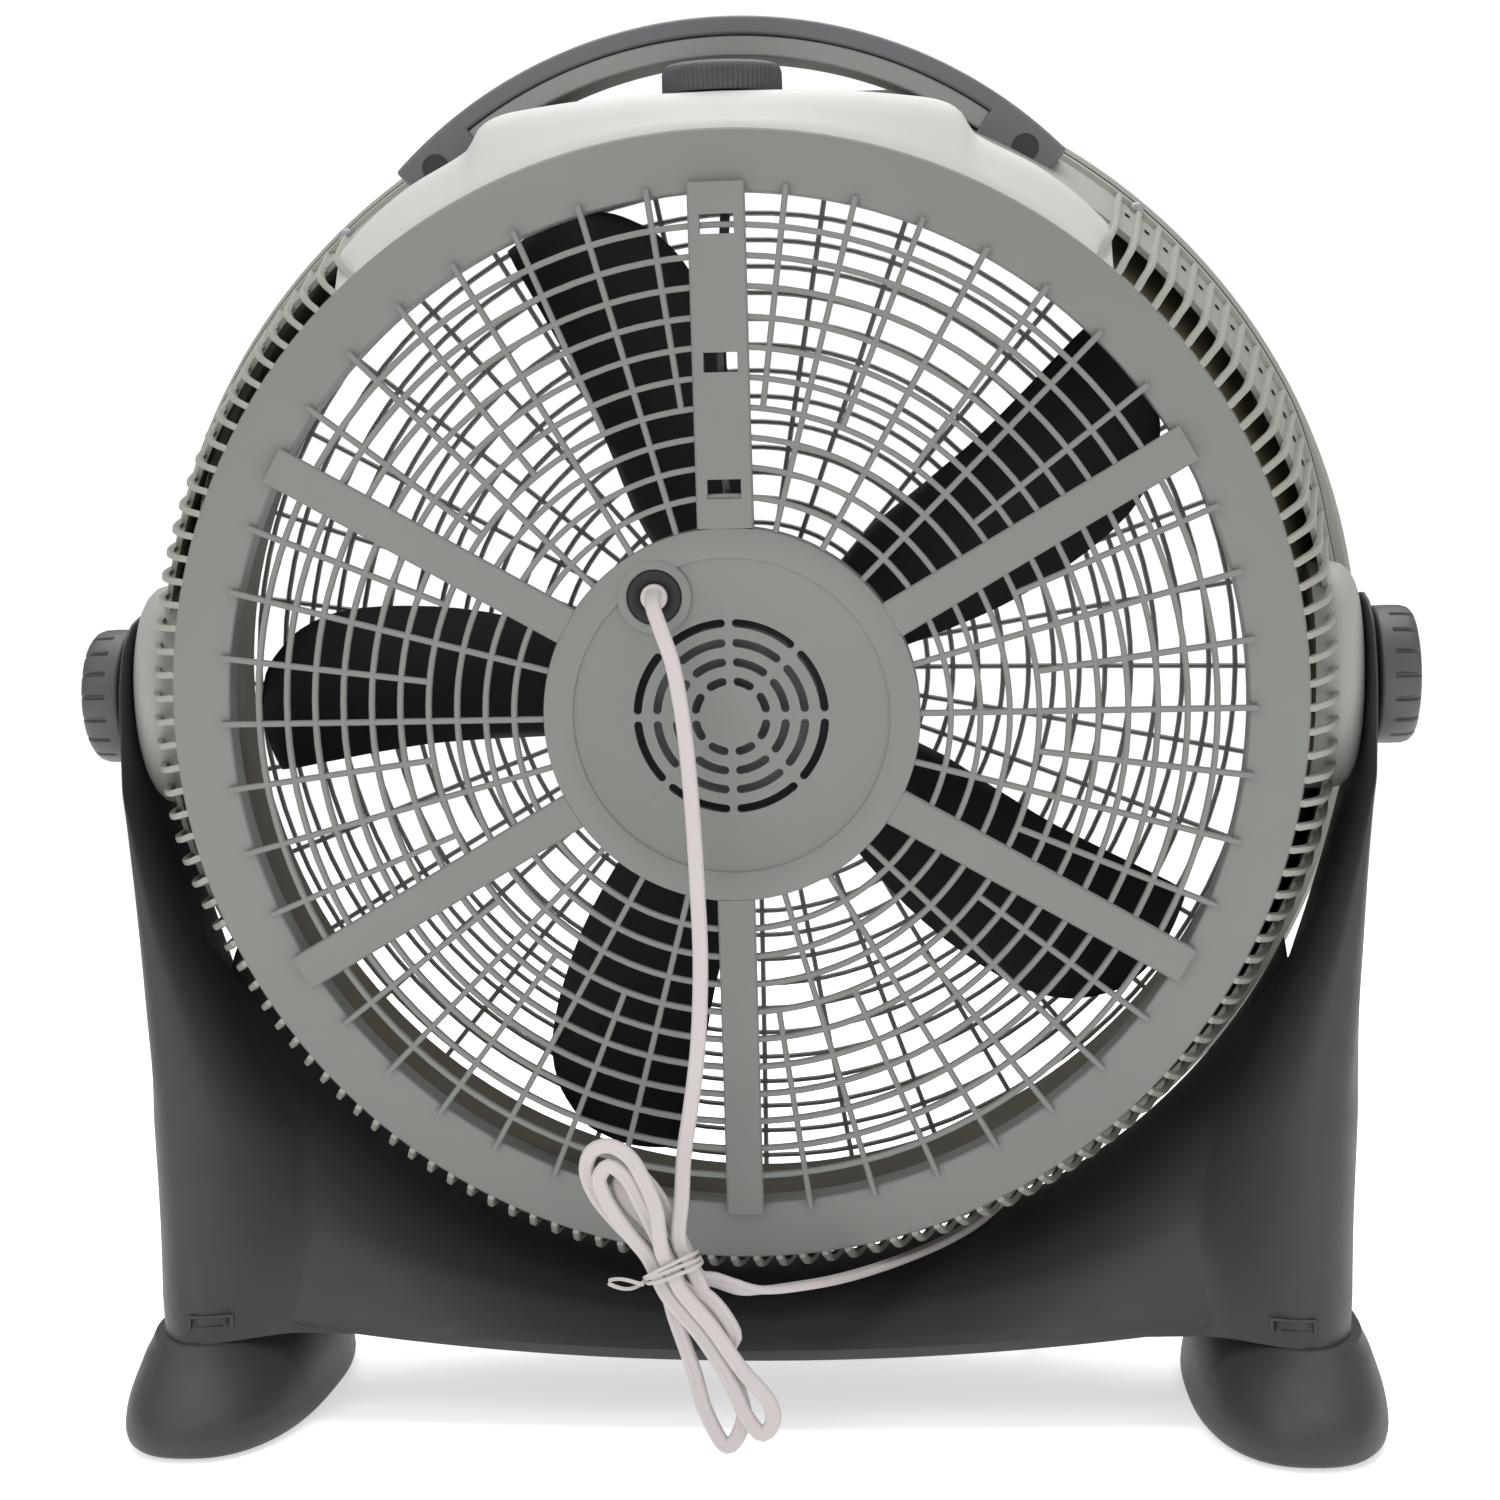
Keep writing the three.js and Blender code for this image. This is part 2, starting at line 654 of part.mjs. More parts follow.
// Vent slots of the hub plate, in rows round its middle.
function ventSlots() {
  const slots = [];
  for (const radius of [42, 33, 24.5, 16]) {
    for (let i = 0; i < 8; i++) {
      const from = deg(45 * i) + 3.2 / radius;
      const to = deg(45 * (i + 1)) - 3.2 / radius;
      const angles = [from, to];
      const outerArc = angles.map((a) => polar(radius + 1.9, a));
      const innerArc = angles.map((a) => polar(radius - 1.9, a)).reverse();
      slots.push(plate(outline([...outerArc, ...innerArc]), -70, -58));
    }
  }
  return slots;
}

const MOTOR_LUG_R = 62;
const MOTOR_LUG_ANGLES = [75, 165, 255, 345];

function lugPlace(angle) {
  return polar(MOTOR_LUG_R, deg(angle));
}

function rearGrille() {
  const shape = grilleShape({
    outer: 216, hub: 83, radials: 12, spokeEvery: 2, ribWidth: 2.8, spokeWidth: SPOKE_WIDTH,
    rings: 3, phase: Math.PI / 2, stub: 236,
  });
  const ribs = plate(shape, GRILLE_REAR, RING_REAR - GAP);
  const hub = turned(
    [
      [0, -66], [HUB_STEP_R, -66], [HUB_STEP_R, -67], [HUB_R, -67],
      [HUB_R, -52], [HUB_R - WALL, -52], [HUB_R - WALL, -62], [0, -62],
    ],
    32,
  );
  const bosses = MOTOR_LUG_ANGLES.map((angle) => {
    const [x, z] = lugPlace(angle);
    return ring(0, 5, -63, -52.4, 12).translate(x, 0, z);
  });
  let solid = toSolid(ribs).add(toSolid(hub));
  bosses.forEach((boss) => {
    solid = solid.add(toSolid(boss));
  });
  ventSlots().forEach((slot) => {
    solid = solid.subtract(toSolid(slot));
  });
  MOTOR_LUG_ANGLES.forEach((angle) => {
    const [x, z] = lugPlace(angle);
    solid = solid.subtract(toSolid(ring(0, 2, -60, -50, 10).translate(x, 0, z)));
  });
  solid = solid.subtract(toSolid(ring(0, GROMMET_R - 2, -80, -50, 16).translate(GROMMET_X, 0, GROMMET_Z)));
  return toGeometry(solid);
}

addTo(axis, "rear_grille", rearGrille(), "grille");

// The front grille swells forward, so every point is moved along Y by its radius.
function frontGrille() {
  const shape = grilleShape({
    outer: 287, hub: 44, radials: 12, spokeEvery: 0, ribWidth: 3, spokeWidth: 0,
    rings: 4, phase: deg(15), stub: 0,
  });
  const ribs = plate(shape, 64, 67);
  const p = ribs.attributes.position;
  for (let i = 0; i < p.count; i++) {
    const r = Math.hypot(p.getX(i), p.getZ(i));
    p.setY(i, p.getY(i) + DOME * (1 - (r / 287) ** 2));
  }
  const rim = turned(
    [
      [282, DRUM_FRONT + GAP], [RIM_R - 2, DRUM_FRONT + GAP], [RIM_R, 54], [RIM_R, 66],
      [RIM_R - 5, RIM_FRONT], [286, RIM_FRONT], [282, 68], [282, DRUM_FRONT + GAP],
    ],
    DRUM_SEGMENTS,
  );
  const flatTop = TOP_FLAT + AXIS_DROP;
  const whole = cut(joined(ribs, rim), box(-130, 130, 40, 100, flatTop, 310));
  return joined(whole, box(-88, 88, DRUM_FRONT + GAP, 69, flatTop - 7, flatTop));
}

addTo(axis, "front_grille", frontGrille(), "grille");
addTo(
  axis,
  "front_cap",
  turned([[0, 95.4], [50, 94.9], [50, 97], [44, 99.5], [0, 101]], 20),
  "shell",
);

// ---- housing screws behind the front rim ----
const HOUSING_SCREW_ANGLES = [49.5, 130.5, 225, 315];
HOUSING_SCREW_ANGLES.forEach((angle, i) => {
  const profile = [[0, 42.5], [3.2, 42.5], [3.2, 45], [1.7, 45.5], [1.7, 50], [0, 50]];
  const [x, z] = polar(291.6, deg(angle));
  addTo(axis, `housing_screw_${i + 1}`, turned(profile, 10), "steel").position.set(x, 0, z);
});

// ---- motor ----
function rearBell() {
  const cup = turned(
    [[7.4, -52], [40, -52], [52, -44], [52, -28], [49, -28], [49, -43], [39, -49], [7.4, -49], [7.4, -52]],
    20,
  );
  const lugs = MOTOR_LUG_ANGLES.map((angle) => {
    const [x, z] = lugPlace(angle);
    const arm = box(-6, 26, -48, -45, -5, 5).rotateY(-deg(angle));
    const [ax, az] = polar(40, deg(angle));
    arm.translate(ax, 0, az);
    return cut(arm, ring(0, 2.3, -60, -40, 10).translate(x, 0, z));
  });
  return joined(cup, ...lugs);
}

addTo(axis, "motor_rear_bell", rearBell(), "casting");
addTo(
  axis,
  "motor_front_bell",
  turned(
    [[7.4, -3], [40, -3], [52, -10], [52, -25.7], [49, -25.7], [49, -11], [39, -6], [7.4, -6], [7.4, -3]],
    20,
  ),
  "casting",
);
addTo(axis, "stator_core", ring(24, 48.2, -36, -18, 20), "steel");
addTo(axis, "stator_winding_rear", ring(27, 43, -42.5, -36.3, 16), "copper");
addTo(axis, "stator_winding_front", ring(27, 43, -17.7, -11.5, 16), "copper");
addTo(axis, "rotor", ring(4.4, 23.2, -36, -18, 20), "casting");
addTo(axis, "motor_shaft", ring(0, 4, -53, 60, 12), "steel");
addTo(axis, "bearing_rear", ring(4.3, 7.1, -52, -46, 12), "brass");
addTo(axis, "bearing_front", ring(4.3, 7.1, -9, -3, 12), "brass");
MOTOR_LUG_ANGLES.forEach((angle, i) => {
  const screw = turned([[0, -58], [1.7, -58], [1.7, -44.7], [3.6, -44.7], [3.6, -42.4], [0, -42.4]], 10);
  const [x, z] = lugPlace(angle);
  addTo(axis, `motor_screw_${i + 1}`, screw, "steel").position.set(x, 0, z);
});

addTo(axis, "run_capacitor", box(-21, 5, -50, -34, 60, 77), "capacitor");

// ---- impeller ----
// Blade edges: each row is radius, leading edge angle, trailing edge angle, depth along the axis.
const BLADE_ROWS = [
  [44, -20, 16, 30],
  [90, -19, 16, 34],
  [168, -14, 11, 31],
  [200, -11, 11, 28],
  [226, -5.5, 11, 23],
  [BLADE_R, 1.5, 10.5, 17],
];
const BLADE_MID_Y = 29;
const BLADE_THICKNESS = 2.6;

function bladeSection([radius, lead, trail, depth], turn) {
  const steps = 3;
  const camber = 4;
  const rear = [];
  const front = [];
  for (let i = 0; i <= steps; i++) {
    const t = i / steps;
    const [x, z] = polar(radius, deg(lead + (trail - lead) * t) + turn);
    const y = BLADE_MID_Y + depth * (t - 0.5) - camber * 4 * t * (1 - t);
    rear.push([x, y - BLADE_THICKNESS / 2, z]);
    front.push([x, y + BLADE_THICKNESS / 2, z]);
  }
  return [...rear, ...front.reverse()];
}

function impellerGeometry() {
  const hub = turned(
    [
      [5, 52], [30, 52], [42, 47], [IMPELLER_HUB_R, 40], [IMPELLER_HUB_R, 6], [IMPELLER_HUB_R - WALL, 6],
      [IMPELLER_HUB_R - WALL, 40], [40, 44.5], [14, 46], [14, 22], [5, 22], [5, 52],
    ],
    20,
  );
  const blades = Array.from({ length: BLADES }, (_, i) => {
    const turn = deg(36 + (360 / BLADES) * i);
    return loft(BLADE_ROWS.map((row) => bladeSection(row, turn)));
  });
  return joined(hub, ...blades);
}

addTo(axis, "impeller", impellerGeometry(), "blade");
addTo(
  axis,
  "impeller_nut",
  turned([[4.4, 52.6], [14, 52.6], [14, 58], [9, 63], [0, 64.5], [0, 60.6], [4.4, 60.6], [4.4, 52.6]], 12),
  "blade",
);

// ---- wires in the top spoke, grommet ----
function sweep(points, section, steps) {
  const curve = new THREE.CatmullRomCurve3(points.map((p) => new THREE.Vector3(...p)), false, "centripetal");
  return new THREE.ExtrudeGeometry(section, { steps, bevelEnabled: false, extrudePath: curve });
}

function roundSection(radius, sides) {
  return outline(circlePoints(radius, sides));
}

const LOOM_ROUTE = [
  [4, -37, 251], [4, -41, 240], [3, -50, 226], [2, -54.5, 206], [0, -57, 180], [0, -57, 140], [0, -57, 110],
  [2, -56, 92],
];
addTo(axis, "wire_loom", sweep(LOOM_ROUTE, roundSection(2.2, 6), 12), "rubber");

const grommet = turned(
  [
    [5.2, -72], [9.5, -72], [GROMMET_R, -70.5], [GROMMET_R, -67.4], [GROMMET_R - 2.4, -67.2],
    [GROMMET_R - 2.4, -60.8], [GROMMET_R - 1, -60.6], [GROMMET_R - 1, -58], [5.2, -58], [5.2, -72],
  ],
  16,
);
addTo(axis, "cord_grommet", grommet, "rubber").position.set(GROMMET_X, 0, GROMMET_Z);

// ---- mains lead ----
// A flat lead swept along its route; "across" is the way its flat side faces sideways.
function flatLead(route, across, steps) {
  const curve = new THREE.CatmullRomCurve3(route.map((p) => new THREE.Vector3(...p)), false, "centripetal");
  const half = (CORD_WIDTH - CORD_THICKNESS) / 2;
  const r = CORD_THICKNESS / 2;
  const sections = [];
  for (let k = 0; k <= steps; k++) {
    const centre = curve.getPointAt(k / steps);
    const along = curve.getTangentAt(k / steps);
    const wide = new THREE.Vector3(...across);
    wide.addScaledVector(along, -along.dot(wide)).normalize();
    const thin = new THREE.Vector3().crossVectors(along, wide);
    const section = [];
    for (let i = 0; i < 8; i++) {
      const a = -Math.PI / 2 + (Math.PI * (i % 4)) / 3 + (i < 4 ? 0 : Math.PI);
      const u = (i < 4 ? half : -half) + r * Math.cos(a);
      const v = r * Math.sin(a);
      const p = centre.clone().addScaledVector(wide, u).addScaledVector(thin, v);
      section.push([p.x, p.y, p.z]);
    }
    sections.push(section);
  }
  return loft(sections);
}

// Points of each route are from the tilt axis, level with the world.
const UPPER_ROUTE = [
  [-32.5, -63, 43], [-32.3, -77, 41], [-31.6, -86, 35], [-28, -90, 25], [-23, -90.5, 10],
  [-18.5, -90, -18], [-15.8, -89.5, -50], [-13.8, -89, -93], [-13.2, -89, -122],
  [-15, -89, -158], [-18.5, -89, -184], [-21.5, -89, -205], [-24, -89, -236],
];
addTo(stand, "power_cord", flatLead(UPPER_ROUTE, [1, 0, 0], 22), "cord");

const TAIL_ROUTE = [
  [-21, -88.2, -250], [-10, -87.6, -261], [5, -82, -267], [30, -62, -270], [57, -28, -272], [91, 15, -269],
  [108, 34, -263.6], [120, 47, -256.6], [126, 53, -254.4], [133, 61, -256.6], [140, 72, -269], [142, 78, -290],
  [142, 83, -312], [136, 92, -331], [120, 101, -339], [98, 105, -339], [79, 106, -334.3],
];
addTo(stand, "cord_tail", flatLead(TAIL_ROUTE, [0.78, -0.63, 0], 30), "cord");

// The hank: folded runs held by a tie, hanging beside the upper run.
const HANK_TOP = [-55, -206];
const HANK_NECK = [-28, -250];
const HANK_END = [5, -318];
const HANK_HALF = [17, 9, 14];
const HANK_Y0 = -105;
const HANK_Y1 = -91.8;

function hankGeometry() {
  const along = (from, to) => Math.atan2(to[1] - from[1], to[0] - from[0]);
  const upper = along(HANK_NECK, HANK_TOP);
  const lower = along(HANK_NECK, HANK_END);
  const points = [];
  const arc = (centre, radius, from) => {
    for (let i = 0; i <= 6; i++) {
      const [dx, dz] = polar(radius, from - (Math.PI * i) / 6);
      points.push([centre[0] + dx, centre[1] + dz]);
    }
  };
  const [nx, nz] = polar(HANK_HALF[1], upper - Math.PI / 2);
  arc(HANK_TOP, HANK_HALF[0], upper + Math.PI / 2);
  points.push([HANK_NECK[0] + nx, HANK_NECK[1] + nz]);
  arc(HANK_END, HANK_HALF[2], lower + Math.PI / 2);
  points.push([HANK_NECK[0] - nx, HANK_NECK[1] - nz]);
  return plate(outline(points.reverse()), HANK_Y0, HANK_Y1);
}

addTo(stand, "cord_hank", hankGeometry(), "cord");

function tieGeometry() {
  const halfWidth = HANK_HALF[1] + 1.2;
  const halfDepth = (HANK_Y1 - HANK_Y0) / 2 + 0.6;
  const loop = (grow) => {
    const w = halfWidth + grow;
    const d = halfDepth + grow;
    return outline([[w, -d], [w, d], [-w, d], [-w, -d]]);
  };
  const shape = loop(1);
  shape.holes.push(loop(0));
  const band = new THREE.ExtrudeGeometry(shape, { depth: 4, bevelEnabled: false });
  band.translate(0, 0, -2);
  const lean = Math.atan2(HANK_TOP[0] - HANK_END[0], HANK_TOP[1] - HANK_END[1]);
  return band.rotateY(lean).translate(HANK_NECK[0], (HANK_Y0 + HANK_Y1) / 2, HANK_NECK[1]);
}

addTo(stand, "cord_tie", tieGeometry(), "tie");

// ---- plug on the floor in front of the saddle ----
const PLUG_X = 78.4;
const PLUG_Y = 106;
const PLUG_Z = -334;

function plugGeometry() {
  const section = (x, halfWidth, halfHeight) => {
    return level(x, -halfWidth, halfWidth, halfHeight, 12, 4).map(([a, b, c]) => [c, PLUG_Y + a, PLUG_Z + b]);
  };
  const rows = [[PLUG_X, 6, 4], [PLUG_X - 14, 9, 6], [PLUG_X - 18, 12, 7.7], [PLUG_X - 33, 12.5, 7.9]];
  const body = loft(rows.map(([x, w, h]) => section(x, w, h)));
  const sockets = [-6.35, 6.35].map((dy) => {
    return box(PLUG_X - 40, PLUG_X - 27, PLUG_Y + dy - 1, PLUG_Y + dy + 1, PLUG_Z - 3.4, PLUG_Z + 3.4);
  });
  return cut(body, ...sockets);
}

addTo(stand, "plug_body", plugGeometry(), "cord");
[-6.35, 6.35].forEach((dy, i) => {
  const y = PLUG_Y + dy;
  const blade = box(PLUG_X - 50, PLUG_X - 27.3, y - 0.7, y + 0.7, PLUG_Z - 3.1, PLUG_Z + 3.1);
  addTo(stand, `plug_blade_${i + 1}`, blade, "brass");
});

export default part;
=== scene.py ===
"""Finer looks for the axial air mover: a floor fan seen from behind, in metres, in the CAD part's frame."""

import json
import math

import bmesh
import bpy
import numpy as np
from mathutils import Matrix, Vector


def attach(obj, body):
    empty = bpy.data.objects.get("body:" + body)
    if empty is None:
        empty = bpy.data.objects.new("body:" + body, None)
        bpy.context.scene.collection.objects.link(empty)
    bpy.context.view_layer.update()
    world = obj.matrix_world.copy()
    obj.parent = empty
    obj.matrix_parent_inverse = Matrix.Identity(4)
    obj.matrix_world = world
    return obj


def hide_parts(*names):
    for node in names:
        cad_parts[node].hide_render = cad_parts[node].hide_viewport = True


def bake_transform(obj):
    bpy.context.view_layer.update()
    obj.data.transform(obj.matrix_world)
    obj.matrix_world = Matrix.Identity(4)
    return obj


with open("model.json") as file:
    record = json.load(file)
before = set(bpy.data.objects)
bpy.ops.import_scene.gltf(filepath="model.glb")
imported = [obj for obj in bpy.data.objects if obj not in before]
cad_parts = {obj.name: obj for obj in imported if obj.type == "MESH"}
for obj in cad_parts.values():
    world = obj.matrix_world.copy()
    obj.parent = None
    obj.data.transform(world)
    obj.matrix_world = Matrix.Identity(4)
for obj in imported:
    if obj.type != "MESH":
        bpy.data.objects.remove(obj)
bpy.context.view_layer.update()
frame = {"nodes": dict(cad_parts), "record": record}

MM = 0.001
# The tilt axis: its height and its place front to back. The head's tilt at rest.
# How far the fan's axis lies under the tilt axis.
PIVOT = 342.0
PIVOT_Y = -7.92
TILT = math.radians(8)
DROP = 5.0
TAU = 2 * math.pi
HEXAGON = np.linspace(0, TAU, 7)[:-1]


# ---- camera: metres and degrees ----
CAMERA_PLACE = (0.088, -1.108, 0.342)
CAMERA_YAW, CAMERA_DIP, CAMERA_ROLL = 4.4, 1.6, -1.0
CAMERA_LENS = 55.87


def look():
    data = bpy.data.cameras.new("camera")
    data.sensor_width = 36
    data.lens = CAMERA_LENS
    camera = bpy.data.objects.new("camera", data)
    bpy.context.scene.collection.objects.link(camera)
    turn = Matrix.Rotation(math.radians(CAMERA_YAW), 4, "Z")
    tip = Matrix.Rotation(math.radians(90 - CAMERA_DIP), 4, "X")
    roll = Matrix.Rotation(math.radians(CAMERA_ROLL), 4, "Z")
    camera.matrix_world = Matrix.Translation(CAMERA_PLACE) @ turn @ tip @ roll
    bpy.context.scene.camera = camera


look()


# ---- mesh helpers: millimetres in, metres out ----
class Shape:
    """Vertices and faces gathered from several solids of one piece."""

    def __init__(self):
        self.points = []
        self.faces = []

    def add(self, solid):
        points, faces = solid
        start = len(self.points)
        self.points.extend(tuple(map(float, p)) for p in points)
        self.faces.extend(tuple(start + i for i in f) for f in faces)
        return self


def closed_loft(sections, caps=True, looped=False):
    """Quads between sections of equal point counts, with end caps."""
    count = len(sections[0])
    points = [p for s in sections for p in s]
    faces = []
    spans = len(sections) if looped else len(sections) - 1
    for s in range(spans):
        a0, b0 = s * count, ((s + 1) % len(sections)) * count
        for i in range(count):
            j = (i + 1) % count
            faces.append((a0 + i, a0 + j, b0 + j, b0 + i))
    if caps and not looped:
        faces.append(tuple(range(count)))
        faces.append(tuple((len(sections) - 1) * count + i for i in reversed(range(count))))
    return points, faces


def lathe(profile, segments=96, start=0.0, sweep=TAU):
    """A closed profile of (radius, y) round the Y axis."""
    full = abs(sweep - TAU) < 1e-6
    steps = segments if full else segments + 1
    sections = []
    for k in range(steps):
        a = start + sweep * k / segments
        sections.append([(r * math.cos(a), y, r * math.sin(a)) for r, y in profile])
    return closed_loft(sections, looped=full)


def along_x(solid):
    """Turns a solid made round Y so that it lies round X."""
    points, faces = solid
    return [(y, x, z) for x, y, z in points], faces


def moved(solid, dx=0.0, dy=0.0, dz=0.0):
    points, faces = solid
    return [(x + dx, y + dy, z + dz) for x, y, z in points], faces


def mirrored(solid):
    points, faces = solid
    return [(-x, y, z) for x, y, z in points], [tuple(reversed(f)) for f in faces]


def bar_section(u0, u1, v0, v1, soft):
    """A rectangle with cut corners, as (u, v) pairs in order."""
    return [
        (u0 + soft, v0), (u1 - soft, v0), (u1, v0 + soft), (u1, v1 - soft),
        (u1 - soft, v1), (u0 + soft, v1), (u0, v1 - soft), (u0, v0 + soft),
    ]


def radial_bar(angle, r0, r1, width, y0, y1, soft=0.5, grow=0.0):
    """A straight bar from the middle outwards, between two radii."""
    ca, sa = math.cos(angle), math.sin(angle)
    sections = []
    for r, w in ((r0, width), (r1, width + grow)):
        sections.append(
            [(r * ca - u * sa, v, r * sa + u * ca) for u, v in bar_section(-w / 2, w / 2, y0, y1, soft)]
        )
    return closed_loft(sections)


def hoop(radius, width, y0, y1, soft=0.5, segments=120):
    return lathe(bar_section(radius - width / 2, radius + width / 2, y0, y1, soft), segments)


def within(value, low=0.0, high=1.0):
    return min(high, max(low, value))


def cut_flat(shape, half_width, top):
    """Points over the middle of the drum come no higher than top."""
    shape.points = [(x, y, min(z, top)) if abs(x) < half_width else (x, y, z) for x, y, z in shape.points]
    return shape


def prism(outline, y0, y1):
    """An outline of (x, z) made solid between two y values."""
    return closed_loft([[(x, y0, z) for x, z in outline], [(x, y1, z) for x, z in outline]])


def box(x0, x1, y0, y1, z0, z1):
    return prism([(x0, z0), (x1, z0), (x1, z1), (x0, z1)], y0, y1)


def superellipse(cx, cy, half_x, half_y, power, count):
    out = []
    for i in range(count):
        a = TAU * (i + 0.5) / count
        c, s = math.cos(a), math.sin(a)
        out.append((
            cx + half_x * math.copysign(abs(c) ** (2 / power), c),
            cy + half_y * math.copysign(abs(s) ** (2 / power), s),
        ))
    return out


def smooth_rows(rows, steps):
    """Rows of numbers joined by a smooth curve through them, by the first number."""
    rows = sorted(rows)
    keys = [r[0] for r in rows]
    out = []
    for k in range(len(rows) - 1):
        for j in range(steps):
            out.append(curve_at(rows, keys, keys[k] + (keys[k + 1] - keys[k]) * j / steps))
    out.append(list(rows[-1]))
    return out


def curve_at(rows, keys, x):
    """Monotone cubic through the rows at x."""
    k = max(i for i in range(len(keys) - 1) if keys[i] <= x + 1e-9)
    h = keys[k + 1] - keys[k]
    t = (x - keys[k]) / h
    row = [x]
    for c in range(1, len(rows[0])):
        def slope(i):
            if i <= 0 or i >= len(keys) - 1:
                j = 0 if i <= 0 else len(keys) - 2
                return (rows[j + 1][c] - rows[j][c]) / (keys[j + 1] - keys[j])
            a = (rows[i][c] - rows[i - 1][c]) / (keys[i] - keys[i - 1])
            b = (rows[i + 1][c] - rows[i][c]) / (keys[i + 1] - keys[i])
            return 0.0 if a * b <= 0 else 2 * a * b / (a + b)
        p0, p1, m0, m1 = rows[k][c], rows[k + 1][c], slope(k) * h, slope(k + 1) * h
        row.append(
            (2 * t**3 - 3 * t**2 + 1) * p0 + (t**3 - 2 * t**2 + t) * m0
            + (-2 * t**3 + 3 * t**2) * p1 + (t**3 - t**2) * m1
        )
    return row


def head_place(points, drop=0.0):
    """From the head's own frame (origin on the tilt axis) to the part's frame."""
    c, s = math.cos(TILT), math.sin(TILT)
    return [(x, PIVOT_Y + y * c - (z - drop) * s, PIVOT + (z - drop) * c + y * s) for x, y, z in points]


def head_axis(points):
    """As head_place, for shapes round the fan's axis, which lies a little under the tilt axis."""
    return head_place(points, DROP)


def stand_place(points):
    return [(x, y + PIVOT_Y, z + PIVOT) for x, y, z in points]


def make(name, shape, place, material, sharp=35, bevel=0.0, segments=2):
    points = place(shape.points)
    data = bpy.data.meshes.new(name)
    data.from_pydata([(x * MM, y * MM, z * MM) for x, y, z in points], [], shape.faces)
    tidy = bmesh.new()
    tidy.from_mesh(data)
    bmesh.ops.remove_doubles(tidy, verts=tidy.verts, dist=1e-6)
    bmesh.ops.recalc_face_normals(tidy, faces=tidy.faces)
    tidy.to_mesh(data)
    tidy.free()
    data.shade_smooth()
    data.set_sharp_from_angle(angle=math.radians(sharp))
    piece = bpy.data.objects.new(name, data)
    bpy.context.scene.collection.objects.link(piece)
    data.materials.append(material)
    if bevel:
        edge = piece.modifiers.new("edge", "BEVEL")
        edge.width = bevel * MM
        edge.segments = segments
        edge.limit_method = "ANGLE"
        edge.angle_limit = math.radians(40)
        edge.harden_normals = True
    return piece


def carved(piece, cutter_shape, place):
    """Cuts a gathered shape out of a piece for good."""
    cutter = make("cutter", cutter_shape, place, piece.data.materials[0])
    cut = piece.modifiers.new("cut", "BOOLEAN")
    cut.operation = "DIFFERENCE"
    cut.solver = "EXACT"
    cut.object = cutter
    bpy.context.view_layer.update()
    done = bpy.data.meshes.new_from_object(piece.evaluated_get(bpy.context.evaluated_depsgraph_get()))
    piece.modifiers.clear()
    if len(done.polygons):
        piece.data = done
    piece.data.shade_smooth()
    piece.data.set_sharp_from_angle(angle=math.radians(35))
    bpy.data.objects.remove(cutter)
    return piece


def put(piece, body, slot, *nodes):
    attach(piece, body)
    if nodes:
        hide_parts(*nodes)
    return piece


# ---- materials ----
GLOSS_DRIFT = 0.08


def finish(name, color, rough, metal=0.0, grain=900.0, bump=0.04, mottle=0.06, specular=0.5):
    """A moulded or metal surface: fine grain, slow colour drift and uneven gloss."""
    material = bpy.data.materials.new(name)
    material.use_nodes = True
    nodes, links = material.node_tree.nodes, material.node_tree.links
    shader = nodes["Principled BSDF"]
    shader.inputs["Metallic"].default_value = metal
    shader.inputs["Specular IOR Level"].default_value = specular
    place = nodes.new("ShaderNodeTexCoord")
    slow = nodes.new("ShaderNodeTexNoise")
    slow.inputs["Scale"].default_value = 9.0
    slow.inputs["Detail"].default_value = 5.0
    links.new(place.outputs["Object"], slow.inputs["Vector"])
    tone = nodes.new("ShaderNodeMix")
    tone.data_type = "RGBA"
    low = [c * (1 - mottle) for c in color]
    high = [min(1.0, c * (1 + mottle)) for c in color]
    tone.inputs["A"].default_value = (*low, 1)
    tone.inputs["B"].default_value = (*high, 1)
    links.new(slow.outputs["Fac"], tone.inputs["Factor"])
    links.new(tone.outputs["Result"], shader.inputs["Base Color"])
    patch = nodes.new("ShaderNodeTexNoise")
    patch.inputs["Scale"].default_value = 60.0
    patch.inputs["Detail"].default_value = 6.0
    links.new(place.outputs["Object"], patch.inputs["Vector"])
    gloss = nodes.new("ShaderNodeMapRange")
    gloss.inputs["To Min"].default_value = max(0.05, rough - GLOSS_DRIFT)
    gloss.inputs["To Max"].default_value = min(1.0, rough + GLOSS_DRIFT)
    links.new(patch.outputs["Fac"], gloss.inputs["Value"])
    links.new(gloss.outputs["Result"], shader.inputs["Roughness"])
    fine = nodes.new("ShaderNodeTexNoise")
    fine.inputs["Scale"].default_value = grain
    fine.inputs["Detail"].default_value = 3.0
    links.new(place.outputs["Object"], fine.inputs["Vector"])
    relief = nodes.new("ShaderNodeBump")
    relief.inputs["Strength"].default_value = bump
    relief.inputs["Distance"].default_value = 0.0006
    links.new(fine.outputs["Fac"], relief.inputs["Height"])
    links.new(relief.outputs["Normal"], shader.inputs["Normal"])
    return material


